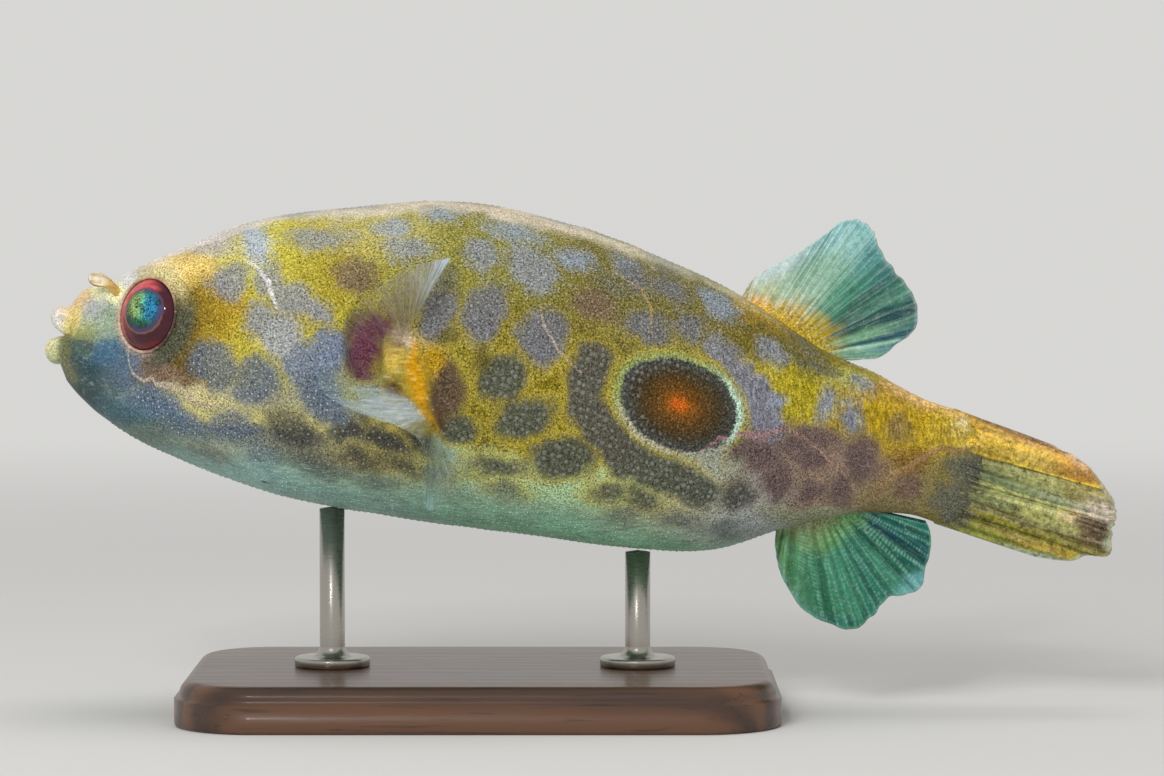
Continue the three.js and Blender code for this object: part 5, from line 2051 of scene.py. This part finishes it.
# The floor: far from the model it takes the backdrop's own tone, so no horizon shows.
def addFloor():
    half = studio["floorHalf"]
    corners = [(-half, -half, 0), (half, -half, 0), (half, half, 0), (-half, half, 0)]
    mesh = bpy.data.meshes.new("floor")
    mesh.from_pydata(corners, [], [(0, 1, 2, 3)])
    floor = bpy.data.objects.new("floor", mesh)
    bpy.context.scene.collection.objects.link(floor)
    n = Nodes("floor_pale")
    n.finish(Base_Color=studio["floor"], Roughness=0.9)
    path = n.add("ShaderNodeLightPath").outputs
    mirrored = n.math("MAXIMUM", path["Is Glossy Ray"], path["Is Transmission Ray"])
    seen = n.math("MAXIMUM", path["Is Camera Ray"], mirrored)
    away = n.add("ShaderNodeVectorMath", {0: n.place()}, operation="LENGTH").outputs["Value"]
    glow = n.add("ShaderNodeEmission", {"Color": studio["backdrop"], "Strength": 1.0})
    blend = n.add("ShaderNodeMixShader", {0: n.times(seen, n.fade(away, 0.1, 0.5))})
    link = n.tree.links.new
    link(n.shader.outputs[0], blend.inputs[1])
    link(glow.outputs[0], blend.inputs[2])
    link(blend.outputs[0], n.tree.nodes["Material Output"].inputs["Surface"])
    mesh.materials.append(n.material)


# A white world for soft fill, with the backdrop's tone behind the model.
def addWorld():
    world = bpy.data.worlds.new("studio")
    bpy.context.scene.world = world
    world.use_nodes = True
    nodes, link = world.node_tree.nodes, world.node_tree.links.new
    path = nodes.new("ShaderNodeLightPath").outputs
    either = nodes.new("ShaderNodeMath")
    either.operation = "MAXIMUM"
    link(path["Is Camera Ray"], either.inputs[0])
    link(path["Is Glossy Ray"], either.inputs[1])
    shown = nodes.new("ShaderNodeBackground")
    shown.inputs["Color"].default_value = (*studio["backdrop"], 1)
    fill = nodes["Background"]
    fill.inputs["Color"].default_value = (1, 1, 1, 1)
    fill.inputs["Strength"].default_value = studio["fill"]
    blend = nodes.new("ShaderNodeMixShader")
    link(either.outputs[0], blend.inputs[0])
    link(fill.outputs[0], blend.inputs[1])
    link(shown.outputs[0], blend.inputs[2])
    link(blend.outputs[0], nodes["World Output"].inputs["Surface"])


# A round lamp that faces the lamps' aim.
def addArea(name, place, size, power, mirrored):
    light = bpy.data.lights.new(name, "AREA")
    light.shape = "DISK"
    light.size = size
    light.energy = power
    lamp = bpy.data.objects.new(name, light)
    bpy.context.scene.collection.objects.link(lamp)
    lamp.location = place
    x, y, z = np.array(studio["lightsAim"]) - np.array(place)
    lamp.rotation_euler = (math.atan2(math.hypot(x, y), -z), 0, math.atan2(-x, y))
    lamp.visible_glossy = mirrored


# The camera looks along y at its aim, raised by the elevation.
def addCamera():
    camera = bpy.data.cameras.new("camera")
    camera.lens = studio["lens"]
    camera.sensor_width = 36
    camera.clip_start = 0.01
    eyePoint = bpy.data.objects.new("camera", camera)
    bpy.context.scene.collection.objects.link(eyePoint)
    lift, away = math.radians(studio["elevation"]), studio["distance"]
    x, y, z = studio["aim"]
    eyePoint.location = (x, y - away * math.cos(lift), z + away * math.sin(lift))
    eyePoint.rotation_euler = (math.pi / 2 - lift, 0, 0)
    bpy.context.scene.camera = eyePoint


addFloor()
addWorld()
for light in studio["lights"]:
    addArea(*light)
addCamera()
bpy.context.scene.view_settings.view_transform = "Standard"
print("studio ready")
